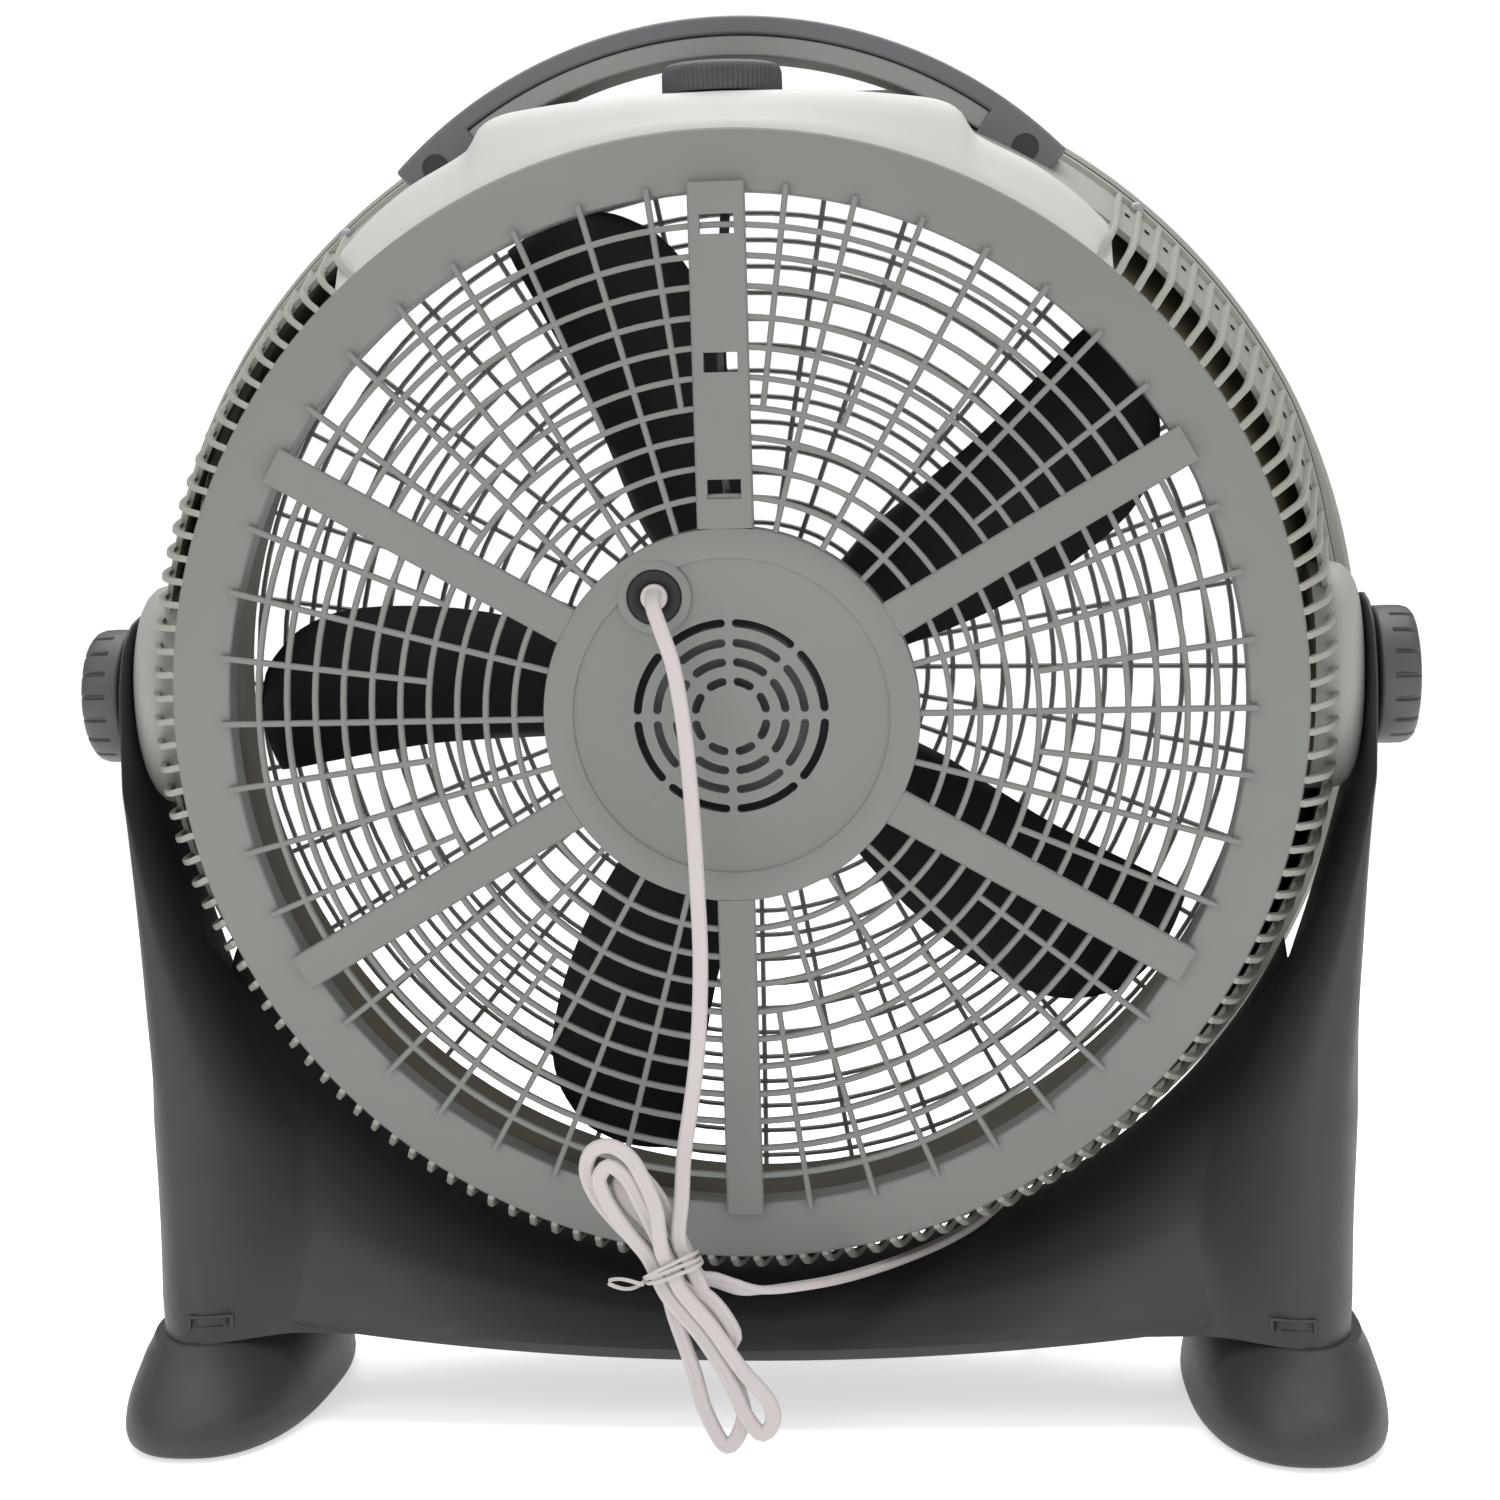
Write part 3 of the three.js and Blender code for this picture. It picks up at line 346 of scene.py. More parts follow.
# The shell's grey-green plastic made darker: painted shade on the grilles and the rear ring, which face away
# from the light.
SHADED_GRILLE_PLASTIC = finish("grille", (0.168, 0.175, 0.162), 0.5)
SHELL = finish("shell", (0.44, 0.445, 0.425), 0.5)
# The drum's inner wall: its own tan plastic, darkened with painted shade.
SKIRT_IN_SHADE = finish("skirt", (0.27, 0.23, 0.15), 0.6, mottle=0.2, specular=0.3)
# The shell's plastic made darker: painted shade on the ribbed side band and the front rim.
RIB_IN_SHADE = finish("rib", (0.27, 0.268, 0.24), 0.5)
BOSS = finish("boss", (0.30, 0.30, 0.285), 0.5)
# The handle's light inner arch, made darker with painted shade.
LINER_IN_SHADE = finish("liner", (0.24, 0.24, 0.23), 0.5)
SCREW_HEAD = finish("screw_head", (0.30, 0.30, 0.31), 0.42, metal=0.3, grain=2500, bump=0.05)
CHARCOAL = finish("charcoal", (0.029, 0.030, 0.034), 0.55, grain=1400, bump=0.10)
KNOB = finish("knob", (0.056, 0.056, 0.063), 0.5, grain=1400, bump=0.08)
HANDLE = finish("handle", (0.11, 0.11, 0.12), 0.45)
BLADE = finish("blade", (0.005, 0.005, 0.005), 0.5, grain=300, bump=0.02, specular=0.2)
RUBBER = finish("rubber", (0.008, 0.008, 0.008), 0.7, grain=1600, bump=0.12)
CORD = finish("cord", (0.50, 0.455, 0.45), 0.5, grain=1200, bump=0.05)
PLUG = finish("plug", (0.48, 0.44, 0.435), 0.42, grain=900, bump=0.05)
TIE = finish("tie", (0.46, 0.43, 0.41), 0.6, grain=2200, bump=0.2)
STEEL = finish("steel", (0.55, 0.55, 0.56), 0.3, metal=1.0, grain=2500, bump=0.05)
BRASS = finish("brass", (0.55, 0.40, 0.16), 0.3, metal=1.0, grain=2500, bump=0.04)
CASTING = finish("casting", (0.16, 0.16, 0.165), 0.5, metal=0.7, grain=700, bump=0.25, mottle=0.12)
LAMINATION = finish("lamination", (0.22, 0.22, 0.23), 0.5, metal=0.9, grain=2500, bump=0.3)
COPPER = finish("copper", (0.40, 0.15, 0.06), 0.35, metal=0.8, grain=1500, bump=0.3)
BLACK_PART = finish("moulded_black", (0.02, 0.02, 0.022), 0.35)
WIRE = finish("wire", (0.03, 0.03, 0.032), 0.4)
# The duct's own olive-brown plastic, darkened with painted shade.
DUCT_IN_SHADE = finish("duct", (0.062, 0.052, 0.030), 0.6, mottle=0.15, specular=0.3)

CAD_LOOKS = {
    "charcoal": CHARCOAL, "rubber": RUBBER, "knob": KNOB, "steel": STEEL, "shell": SHELL, "handle": HANDLE,
    "brass": BRASS, "switch": BLACK_PART, "grille": SHADED_GRILLE_PLASTIC, "casting": CASTING, "lamination": LAMINATION,
    "copper": COPPER, "duct": DUCT_IN_SHADE, "capacitor": BLACK_PART, "blade": BLADE, "wire": WIRE, "cord": CORD,
    "tie": TIE,
}
for row in frame["record"]["subparts"]:
    node = frame["nodes"][row["node"]]
    node.data.materials.clear()
    node.data.materials.append(CAD_LOOKS[row["material_slot"]])

# ---- rear grille: flat hoops, radial bars, six spokes, vented hub plate ----
REAR, REAR_FRONT = -65.3, -62.3
HUB_R, STEP_R = 84.5, 71.0
SPOKE_REAR = -66.4
SPOKE_IN, SPOKE_OUT, BAR_OUT = 84.0, 233.0, 232.8
OUTER_HOOP_R, HOOP_PITCH, HOOPS = 215.0, 13.0, 10
BARS, BAR_WIDE = 48, 2.6
GROMMET = (-32.5, 54.3)
UP = math.pi / 2


def at_grommet(profile, segments):
    """A lathed solid round the lead's way in through the hub plate."""
    return moved(lathe(profile, segments), GROMMET[0], 0, GROMMET[1])


grille = Shape()
for k in range(HOOPS):
    grille.add(hoop(OUTER_HOOP_R - HOOP_PITCH * k, BAR_WIDE, REAR, REAR_FRONT))
for i in range(BARS):
    step = i % 8
    if step == 0:
        continue
    inner = SPOKE_IN if step % 2 == 0 else OUTER_HOOP_R - HOOP_PITCH * 6
    grille.add(radial_bar(UP + TAU / BARS * i, inner, BAR_OUT, BAR_WIDE, REAR + 0.05, REAR_FRONT))
for i in range(1, 6):
    grille.add(radial_bar(UP + i * math.pi / 3, SPOKE_IN, SPOKE_OUT, 17.0, SPOKE_REAR, REAR_FRONT, 0.8))
grille_piece = make("rear_grille_fine", grille, head_axis, SHADED_GRILLE_PLASTIC)

spoke = Shape()
spoke.add(radial_bar(UP, SPOKE_IN, SPOKE_OUT, 25.0, SPOKE_REAR, REAR_FRONT, 0.8))
top_spoke = make("rear_grille_top_spoke", spoke, head_axis, SHADED_GRILLE_PLASTIC)
windows = Shape()
for r0, r1 in ((211.0, 219.5), (152.0, 160.5), (97.0, 105.5)):
    windows.add(box(-7.5, 7.5, -70, -58, r0, r1))
carved(top_spoke, windows, head_axis)

plate = Shape()
plate.add(lathe([
    (0.01, -64.9), (STEP_R - 0.8, -64.9), (STEP_R - 0.2, -65.2), (STEP_R + 0.1, -66.1), (STEP_R + 0.7, -66.4),
    (HUB_R - 1.0, -66.4), (HUB_R - 0.3, -66.1), (HUB_R, -65.4), (HUB_R, -52.0), (HUB_R - 3, -52.0),
    (HUB_R - 3, -62.0), (0.01, -62.0),
], 128))
hub_plate = make("rear_grille_hub", plate, head_axis, SHADED_GRILLE_PLASTIC)
SLOT_HALF, SLOT_GAP, SLOT_STEPS = 1.9, 3.4, 10


def curved_slot(radius, a0, a1):
    """Outline of a slot along an arc, with round ends."""
    def rim(r, start, end):
        turns = [start + (end - start) * k / SLOT_STEPS for k in range(SLOT_STEPS + 1)]
        return [(r * math.cos(t), r * math.sin(t)) for t in turns]

    def end_cap(a, side):
        cap = []
        for k in range(1, 6):
            t = math.pi * k / 6
            r = radius + side * SLOT_HALF * math.cos(t)
            turn = a + side * SLOT_HALF * math.sin(t) / radius
            cap.append((r * math.cos(turn), r * math.sin(turn)))
        return cap

    outer = rim(radius + SLOT_HALF, a0, a1) + end_cap(a1, 1)
    inner = rim(radius - SLOT_HALF, a1, a0) + end_cap(a0, -1)
    return outer + inner


slots = Shape()
for radius in (42.0, 33.2, 24.6, 16.0):
    for i in range(8):
        a0 = math.radians(45 * i) + SLOT_GAP / radius
        a1 = math.radians(45 * (i + 1)) - SLOT_GAP / radius
        slots.add(prism(curved_slot(radius, a0, a1), -70, -58))
slots.add(at_grommet([(0.01, -72.0), (12.35, -72.0), (12.35, -55.0), (0.01, -55.0)], 48))
carved(hub_plate, slots, head_axis)

boss = Shape()
boss.add(at_grommet([
    (12.3, -66.6), (12.7, -67.0), (15.9, -67.0), (16.5, -66.6), (16.8, -65.6), (16.8, -63.0), (12.3, -63.0),
], 56))
gland_boss = make("rear_grille_gland_boss", boss, head_axis, SHADED_GRILLE_PLASTIC)
for piece in (grille_piece, top_spoke, hub_plate, gland_boss):
    put(piece, "head", "grille")
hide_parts("rear_grille")

gland = Shape()
gland.add(at_grommet([
    (6.4, -66.0), (8.2, -67.2), (10.0, -67.6), (11.6, -67.2), (12.2, -66.2), (12.2, -60.0), (11.2, -58.2),
    (5.2, -58.0), (5.2, -62.0),
], 56))
collar = Shape().add(at_grommet([
    (0.01, -69.6), (4.6, -69.6), (5.7, -69.0), (6.0, -68.0), (6.0, -60.0), (0.01, -60.0),
], 40))
put(make("lead_collar", collar, head_axis, CORD), "head", "cord")
put(make("cord_gland", gland, head_axis, RUBBER), "head", "rubber", "cord_grommet")

# ---- drum: rear ring, ribbed side band, bosses ----
RING_OUT, FRONT_R, FRONT_Y, RING_Y = 259.0, 289.0, 50.0, -62.0
SLOPE = (FRONT_R - RING_OUT) / (FRONT_Y - RING_Y)
PLAIN_FROM, PLAIN_TO = 50.5, 129.5
RIBS = 150
PITCH = 360.0 / RIBS
RIB_HALF, RIB_DEEP, RIB_EDGE = 1.5, 3.2, 0.3
RIB_LEAN, RIB_FROM, RIB_LONG = math.radians(1.1), -56.0, 99.0
RIB_END, RIB_END_TURN, RIB_END_DROP = -60.0, 0.004, 2.2
# How far the band bulges: all round next to the ring, more at the front of its upper half, and
# how much less in its lower half.
SWELL, WIDER, SUNK = 11.0, 4.6, 5.5
# The middle of the drum is cut flat under the deck and across the front.
DECK_HALF, DECK_UNDER = 108, 272.0
FRONT_EDGE, BAND_TOP = 47, 280.8
FLAT_HALF, FLAT_TOP, SEAM_TOP, SKIRT_TOP = 130, 281.0, 280.6, 262.0


def swelling(past):
    """Share of the band's swell at a distance past the ring: it rises fast, then dies out."""
    return (1 - math.exp(-past / 12.0)) * (1 - within(past / (FRONT_Y - RING_Y))) ** 1.2


def band_r(y):
    """Radius of the side band: it swells out fast behind the ring, then runs almost straight."""
    past = y - RING_Y
    return RING_OUT + SLOPE * past + SWELL * swelling(max(past, 0.0))


def widened(shape):
    """The band reaches further out at the front of its upper half and swells less in its lower half."""
    points = []
    for x, y, z in shape.points:
        radius, angle = math.hypot(x, z), math.degrees(math.atan2(z, abs(x)))
        wider = WIDER * (within((angle - 14) / 12) * within((y + 27) / 77))
        sunk = SUNK * swelling(max(y - RING_Y, 0.0)) * within((-angle - 14) / 12)
        grown = 1 + (wider - sunk) / max(radius, 1)
        points.append((x * grown, y, z * grown))
    shape.points = points
    return shape


def is_plain(degrees):
    return PLAIN_FROM <= degrees % 360 <= PLAIN_TO


def wall(a0, a1, y0, y1, depth0, depth1, steps):
    """A piece of the side wall between two angles and two depths below its outer face."""
    r0, r1 = band_r(y0), band_r(y1)
    profile = [(r0 - depth0, y0), (r1 - depth0, y1), (r1 - depth1, y1), (r0 - depth1, y0)]
    sections = []
    for k in range(steps + 1):
        a = a0 + (a1 - a0) * k / steps
        sections.append([(r * math.cos(a), y, r * math.sin(a)) for r, y in profile])
    return closed_loft(sections)


def rib(degrees):
    """One leaning rib of the side band, rounded over and drawn in at its rear end."""
    sections = []
    for y in (-61.0, -57.0, -52.5, -48.0, -38.0, -27.0, -10.0, 10.0, 30.0, 47.0):
        a = math.radians(degrees) + RIB_LEAN * (y - RIB_FROM) / RIB_LONG
        r = band_r(y)
        if y < RIB_END:
            a -= RIB_END_TURN
            r -= RIB_END_DROP
        w = RIB_HALF / r
        outline = ((RIB_DEEP, -w), (RIB_EDGE, -w * 0.9), (0.0, 0.0), (RIB_EDGE, w * 0.9), (RIB_DEEP, w))
        section = []
        for depth, turn in outline:
            section.append(((r - depth) * math.cos(a + turn), y, (r - depth) * math.sin(a + turn)))
        sections.append(section)
    return closed_loft(sections)


ring = Shape()
ring.add(lathe([
    (229.2, -49.5), (229.2, -61.4), (229.9, -62.0), (253.6, -62.0), (255.2, -61.5), (256.2, -60.0),
    (256.6, -57.0), (254.0, -57.0), (253.0, -58.8), (231.4, -58.8), (231.4, -49.5),
], 192))
# The rear ring is shell plastic; its darker grille colour is painted shade.
ring_piece = make("drum_rear_ring", ring, head_axis, SHADED_GRILLE_PLASTIC)

band = Shape()
band.add(lathe([
    *[(band_r(y) - 2.4, y) for y in (-22.0, -12.0, 0.0, 15.0, 30.0, 46.0)],
    (band_r(46), 46.4), (FRONT_R, 49.0), (FRONT_R, 50.0), (FRONT_R - 4.5, 50.0),
    *[(band_r(y) - 5.0, y) for y in (30.0, 15.0, 0.0, -12.0, -22.0)],
], 192))
for i in range(RIBS):
    if not is_plain(PITCH * i):
        band.add(rib(PITCH * i))
widened(band)
band.points = [
    (x, y, min(z, DECK_UNDER if y < FRONT_EDGE else BAND_TOP)) if abs(x) < DECK_HALF else (x, y, z)
    for x, y, z in band.points
]
# The side band takes the darker rib colour: painted shade on the shell's plastic.
band_piece = make("drum_side_band", band, head_axis, RIB_IN_SHADE)

plain = Shape()
plain.add(wall(math.radians(PLAIN_FROM), math.radians(PLAIN_TO), -55.0, 42.0, 5.5, 8.5, 40))
cut_flat(widened(plain), DECK_HALF, DECK_UNDER)
plain_piece = make("drum_plain_wall", plain, head_axis, SHELL)

# Black patches between the ribs: painted shade where the slits open into the drum.
slit_shade = Shape()
for i in range(RIBS):
    if is_plain(PITCH * i) or is_plain(PITCH * (i + 1)):
        continue
    a = math.radians(PITCH * (i + 0.5) + 0.75)
    r = band_r(24) - 2.3
    ca, sa = math.cos(a), math.sin(a)
    outline = ((-1.4, 20), (1.4, 20), (1.4, 27), (-1.4, 27))
    slit_shade.add(closed_loft([
        [((r + d) * ca - u * sa, y, (r + d) * sa + u * ca) for u, y in outline] for d in (-0.2, 0.25)
    ]))
slit_shade_piece = make("drum_slit_shade", widened(slit_shade), head_axis, BLACK_PART)

seam = [(FRONT_R - 3.4, 50.0), (FRONT_R + 0.6, 50.0), (FRONT_R + 0.6, 52.0), (FRONT_R - 3.4, 52.0)]
lip = cut_flat(widened(Shape().add(lathe(seam, 192))), FLAT_HALF, SEAM_TOP)
lip_piece = make("drum_seam", lip, head_axis, BLACK_PART)

hubs = Shape()
side = along_x(lathe([
    (0.01, 262.0), (53.0, 262.0), (53.0, 274.0), (51.8, 278.5), (49.0, 281.6), (45.5, 283.6), (42.5, 284.6),
    (39.5, 285.2), (36.0, 285.6), (34.0, 285.2), (32.8, 283.4), (14.0, 283.4), (13.0, 285.4), (5.0, 285.5),
    (5.0, 262.0),
], 72))
flattened = [(x, y * 0.7 if y < 0 else min(y, 44.0), z) for x, y, z in side[0]]
side = (flattened, side[1])
hubs.add(side).add(mirrored(side))
hub_pieces = make("drum_bosses", hubs, head_place, BOSS)

DECK_REAR_R, DECK_FLOOR_R, DECK_END = 256.5, 253.0, 170.0
# The right half of the deck's outline: x and height over the tilt axis.
DECK = [
    (0, 268.5), (30, 268.0), (60, 266.3), (84, 263.6), (94, 262.0), (101, 259.6), (106, 256.0), (109, 251.0),
    (111, 247.5), (115, 244.8), (138, 232.5), (150, 224.0), (160, 215.5), (170, 205.5),
]


def deck_top(steps=64):
    """The deck's outline from left to right, evenly spaced in x."""
    keys = [x for x, z in DECK]
    rows = [[x, z] for x, z in DECK]
    out = []
    for k in range(-steps, steps + 1):
        x = DECK_END * math.copysign(abs(k / steps), k)
        out.append((x, curve_at(rows, keys, min(abs(x), DECK_END - 0.001))[1]))
    return out


# How far the deck has risen from the ring's circle to its full outline, and how far it sinks, at each y.
DECK_RISE = [
    (-60.5, 0.0, 0.0), (-57, 0.22, 0.0), (-53, 0.52, 0.0), (-49, 0.78, 0), (-45, 0.94, 0), (-42, 1.0, 0.3),
    (-38, 1.0, 0.0), (-20, 1.0, 0.0), (47, 1.0, 0.0),
]
deck = Shape()
sections = []
for y, risen, sink in DECK_RISE:
    row = []
    for x, z in deck_top():
        circle = math.sqrt(DECK_REAR_R**2 - x**2) - DROP
        dip = 0.8 * math.exp(-((x / 70) ** 2)) if 0 < risen < 1 else 0.0
        row.append((x, y + dip, circle + (z - circle) * risen - sink))
    underside = [(x, y, math.sqrt(DECK_FLOOR_R**2 - x**2) - DROP) for x, z in reversed(deck_top())]
    sections.append(row + underside)
deck.add(closed_loft(sections))
deck_piece = make("drum_deck", deck, head_place, SHELL, sharp=50)

put(ring_piece, "head", "grille")
for piece in (band_piece, plain_piece, hub_pieces, deck_piece):
    put(piece, "head", "shell")
put(slit_shade_piece, "head", "switch")
# The duct: olive-brown plastic with painted shade.
duct = Shape().add(lathe([(243.0, -57.4), (245.4, -57.4), (251.4, 47.0), (249.0, 47.0)], 160))
put(make("air_duct_fine", duct, head_axis, DUCT_IN_SHADE), "head", "duct", "air_duct")
# The inner skirt seen through the rib gaps: tan plastic with painted shade.
skirt = Shape().add(lathe([
    (248.0, -46.0), (282.0, 38.0), (282.0, 40.0), (251.6, 46.5), (249.6, 40.0), (246.0, -44.0),
], 160))
put(make("drum_inner_skirt", cut_flat(skirt, FLAT_HALF, SKIRT_TOP), head_axis, SKIRT_IN_SHADE), "head", "duct")
put(lip_piece, "head", "switch")
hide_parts("drum_housing")

# ---- handle: light inner arch and dark cover with two screwed lugs ----
ARCH_Z, HANDLE_Y = 89.0, 23.0
COVER_END, LUG_START = math.radians(45.3), math.radians(35.0)
SCREW_R, SCREW_AT = 205.6, math.radians(41.3)
SCREW_X, SCREW_Z = SCREW_R * math.sin(SCREW_AT), ARCH_Z + SCREW_R * math.cos(SCREW_AT)


def arch(inner, outer, a0, a1, y0, y1, steps=64):
    """A curved bar between two angles from straight up."""
    spans = [a0 + (a1 - a0) * k / steps for k in range(steps + 1)]
    rim = [(outer * math.sin(t), ARCH_Z + outer * math.cos(t)) for t in spans]
    under = [(inner * math.sin(t), ARCH_Z + inner * math.cos(t)) for t in reversed(spans)]
    return prism(rim + under, y0, y1)


liner_end = math.radians(39)
# The liner's darker colour is painted shade on the light inner arch.
liner = Shape().add(arch(199.6, 208.8, -liner_end, liner_end, HANDLE_Y - 17, HANDLE_Y + 17))
put(make("handle_liner", liner, head_place, LINER_IN_SHADE, bevel=1.2), "head", "shell")
cover = Shape().add(arch(209.1, 217.4, -COVER_END, COVER_END, HANDLE_Y - 18.4, HANDLE_Y + 18.4))
for sign in (-1, 1):
    a0, a1 = sorted((sign * LUG_START, sign * COVER_END))
    cover.add(arch(194.8, 217.0, a0, a1, HANDLE_Y - 18.6, HANDLE_Y - 14.0, 14))
cover_piece = make("handle_cover_fine", cover, head_place, HANDLE, bevel=1.6, segments=3)
put(cover_piece, "head", "handle", "handle_cover")


def screw_head(radius, y, rise):
    shape = Shape()
    shape.add(lathe([
        (0.01, y - rise), (radius * 0.55, y - rise * 0.92), (radius * 0.85, y - rise * 0.6),
        (radius, y - 0.1), (radius, y + 0.6), (0.01, y + 0.6),
    ], 28))
    return shape


def cross_slot(radius, y):
    shape = Shape()
    for a in (0.4, 0.4 + math.pi / 2):
        shape.add(radial_bar(a, -radius * 0.55, radius * 0.55, radius * 0.26, y - 5, y, 0.02))
    return shape


def head_spot(dx, dz, drop=0.0):
    """A placing function for a small solid that sits at a point of the head."""
    return lambda points: head_place([(x + dx, y, z + dz) for x, y, z in points], drop)


for name, sign in (("left", -1), ("right", 1)):
    spot = head_spot(sign * SCREW_X, SCREW_Z)
    well = Shape().add(lathe([
        (0.01, 4.35), (5.2, 4.35), (5.2, 4.1), (6.2, 4.2), (6.4, 4.6), (0.01, 4.6),
    ], 32))
    put(make(f"handle_screw_well_{name}", well, spot, BLACK_PART), "head", "switch")
    head_piece = make(f"handle_screw_{name}_fine", screw_head(4.3, 4.3, 1.0), spot, SCREW_HEAD)
    carved(head_piece, cross_slot(4.3, 4.1), spot)
    put(head_piece, "head", "steel", f"handle_screw_{name}")

HOUSING_SCREW_R = 291.4
for i, degrees in enumerate((49.5, 130.5, 225.0, 315.0)):
    a = math.radians(degrees)
    spot = head_spot(HOUSING_SCREW_R * math.cos(a), HOUSING_SCREW_R * math.sin(a), DROP)
    head_piece = make(f"housing_screw_{i + 1}_fine", screw_head(3.3, 44.4, 1.4), spot, SCREW_HEAD)
    carved(head_piece, cross_slot(3.3, 43.8), spot)
    put(head_piece, "head", "steel", f"housing_screw_{i + 1}")

# ---- speed knob ----
DIAL_Y, DIAL_STEPS = -14.0, 288


def fluted(radius, depth, steps, pitch):
    """Points round a circle, drawn in by depth for two steps in every pitch."""
    out = []
    for k in range(steps):
        r = radius - (depth if k % pitch in (0, 1) else 0.0)
        out.append((r * math.cos(TAU * k / steps), r * math.sin(TAU * k / steps)))
    return out


dial = Shape()
sections = []
for z, r in ((269.3, 26.6), (270.0, 27.0), (278.4, 26.9), (280.6, 26.2), (282.0, 24.4), (282.4, 20.0)):
    depth = 0.75 if r > 25 else 0.0
    sections.append([(x, DIAL_Y + y, z) for x, y in fluted(r, depth, DIAL_STEPS, 4)])
dial.add(closed_loft(sections))
put(make("speed_knob_fine", dial, head_place, KNOB, sharp=50), "speed_control", "knob", "speed_knob")

# ---- front grille and rim ----
DOME, FRONT_GRILLE_R = 28.0, 285.0
FRONT_HOOP_FROM, FRONT_HOOP_TO, FRONT_PITCH, FRONT_BARS = 50.0, 283, 12.7, 36


def dome_y(r):
    return 66.0 + DOME * (1 - (r / FRONT_GRILLE_R) ** 2)


front = Shape()
radius = FRONT_HOOP_FROM
while radius < FRONT_HOOP_TO:
    y = dome_y(radius)
    front.add(lathe([(radius + 1.3 * math.cos(t), y + 1.5 * math.sin(t)) for t in HEXAGON], 96))
    radius += FRONT_PITCH
for i in range(FRONT_BARS):
    a = math.radians(360 / FRONT_BARS * i)
    ca, sa = math.cos(a), math.sin(a)
    sections = []
    for r in np.linspace(48, FRONT_GRILLE_R, 12):
        y = dome_y(r)
        sections.append([
            (r * ca - 1.3 * math.cos(t) * sa, y + 1.4 * math.sin(t), r * sa + 1.3 * math.cos(t) * ca)
            for t in HEXAGON
        ])
    front.add(closed_loft(sections))
# The front grille, seen from behind, takes the darker grille colour as painted shade.
front_piece = make("front_grille_fine", cut_flat(front, FLAT_HALF, FLAT_TOP), head_axis, SHADED_GRILLE_PLASTIC)
rim = Shape().add(lathe([
    (282.0, 52.2), (294.5, 52.2), (296.3, 53.6), (297.0, 56.0), (297.0, 64.0), (296.0, 68.5), (293.0, 71.4),
    (289.0, 72.0), (285.0, 71.0), (282.6, 68.5), (282.0, 66.0),
], 192))
# The front rim takes the darker rib colour: painted shade on its grazing, backlit face.
rim_piece = make("front_rim", cut_flat(rim, FLAT_HALF, FLAT_TOP), head_axis, RIB_IN_SHADE)
cap = Shape().add(lathe([
    (0.01, 101.0), (20.0, 100.8), (36.0, 100.0), (44.0, 99.0), (48.5, 97.4), (50.0, 95.6), (49.5, 93.2),
    (0.01, 93.6),
], 96))
put(front_piece, "head", "grille", "front_grille")
put(rim_piece, "head", "grille")
put(make("front_cap_fine", cap, head_axis, SHELL), "head", "shell", "front_cap")

# ---- fan wheel ----
BLADES, BLADE_TURN, BLADE_MID_Y, BLADE_STEPS = 5, 34.6, 29, 16
CAMBER = 4
# Radius, then the angles of the two edges, then how far the blade reaches front to back.
BLADE_ROWS = [
    (40, -20.5, 17.5, 29), (66, -20, 17, 32), (90, -19, 16.5, 34), (130, -17, 13, 34), (168, -14, 11.2, 31),
    (200, -10.8, 11, 28), (218, -7.6, 11, 25.5), (228, -4.6, 11, 23), (235, -1.6, 10.9, 20.5),
    (238, 2.2, 10.8, 17.5),
]
fan = Shape()
fan.add(lathe([
    (5.0, 52.0), (28.0, 52.0), (36.0, 50.6), (42.0, 47.0), (45.2, 42.0), (46.0, 36.0), (46.0, 6.0),
    (43.0, 6.0), (43.0, 38.0), (40.0, 44.4), (14.0, 46.0), (14.0, 22.0), (5.0, 22.0),
], 96))


def blade(turn):
    """One cambered blade, thickest at mid chord."""
    sections = []
    for r, lead, trail, depth in smooth_rows(BLADE_ROWS, 3):
        back, face = [], []
        for k in range(BLADE_STEPS + 1):
            t = k / BLADE_STEPS
            a = math.radians(lead + (trail - lead) * t) + turn
            y = BLADE_MID_Y + depth * (t - 0.5) - CAMBER * 4 * t * (1 - t)
            thick = 0.5 + 0.9 * math.sqrt(max(0.0, math.sin(math.pi * t)))
            back.append((r * math.cos(a), y - thick, r * math.sin(a)))
            face.append((r * math.cos(a), y + thick, r * math.sin(a)))
        sections.append(back + face[::-1])
    return closed_loft(sections)


for b in range(BLADES):
    fan.add(blade(math.radians(BLADE_TURN + 360 / BLADES * b)))
fan_piece = make("fan_wheel", fan, head_axis, BLADE, sharp=50)
put(fan_piece, "fan", "blade", "impeller")
nut = Shape().add(lathe([
    (0.01, 64.4), (6.0, 64.0), (10.0, 62.4), (13.0, 59.5), (14.0, 56.5), (14.0, 52.7), (4.4, 52.7),
    (4.4, 60.6), (0.01, 60.6),
], 36))
put(make("fan_nut", nut, head_axis, BLADE), "fan", "blade", "impeller_nut")

# ---- stand ----
# Height, then the outer and inner edge and half the depth of the upright.
UPRIGHT = [
    (-298, 274, 226, 62), (-250, 277, 231, 58), (-200, 280.8, 239, 54), (-150, 283.6, 252, 50),
    (-100, 285.8, 269, 46), (-60, 288, 281.5, 42), (-42, 289.2, 286.2, 40), (0, 290.8, 286.2, 38),
    (20, 290.8, 286.2, 32.5), (33, 290.6, 286.7, 19), (38, 289.9, 287.3, 6),
]
SADDLE_R = 286.0
FLARE, BLEND_OVER = 44.0, 34.0


def saddle_rear(x):
    return -50 + 6 * (x / 200) ** 2


def saddle_ridge(x):
    return 58 - 22 * (x / 260) ** 2


def saddle_bottom(x):
    return -309 + 15 * (x / 220) ** 2


def saddle_lip(x):
    return saddle_bottom(x) + 6 - (x / 220) ** 2


def circle_below(x):
    """Height of the saddle's round seat at x."""
    return -math.sqrt(max(SADDLE_R**2 - x**2, 0))


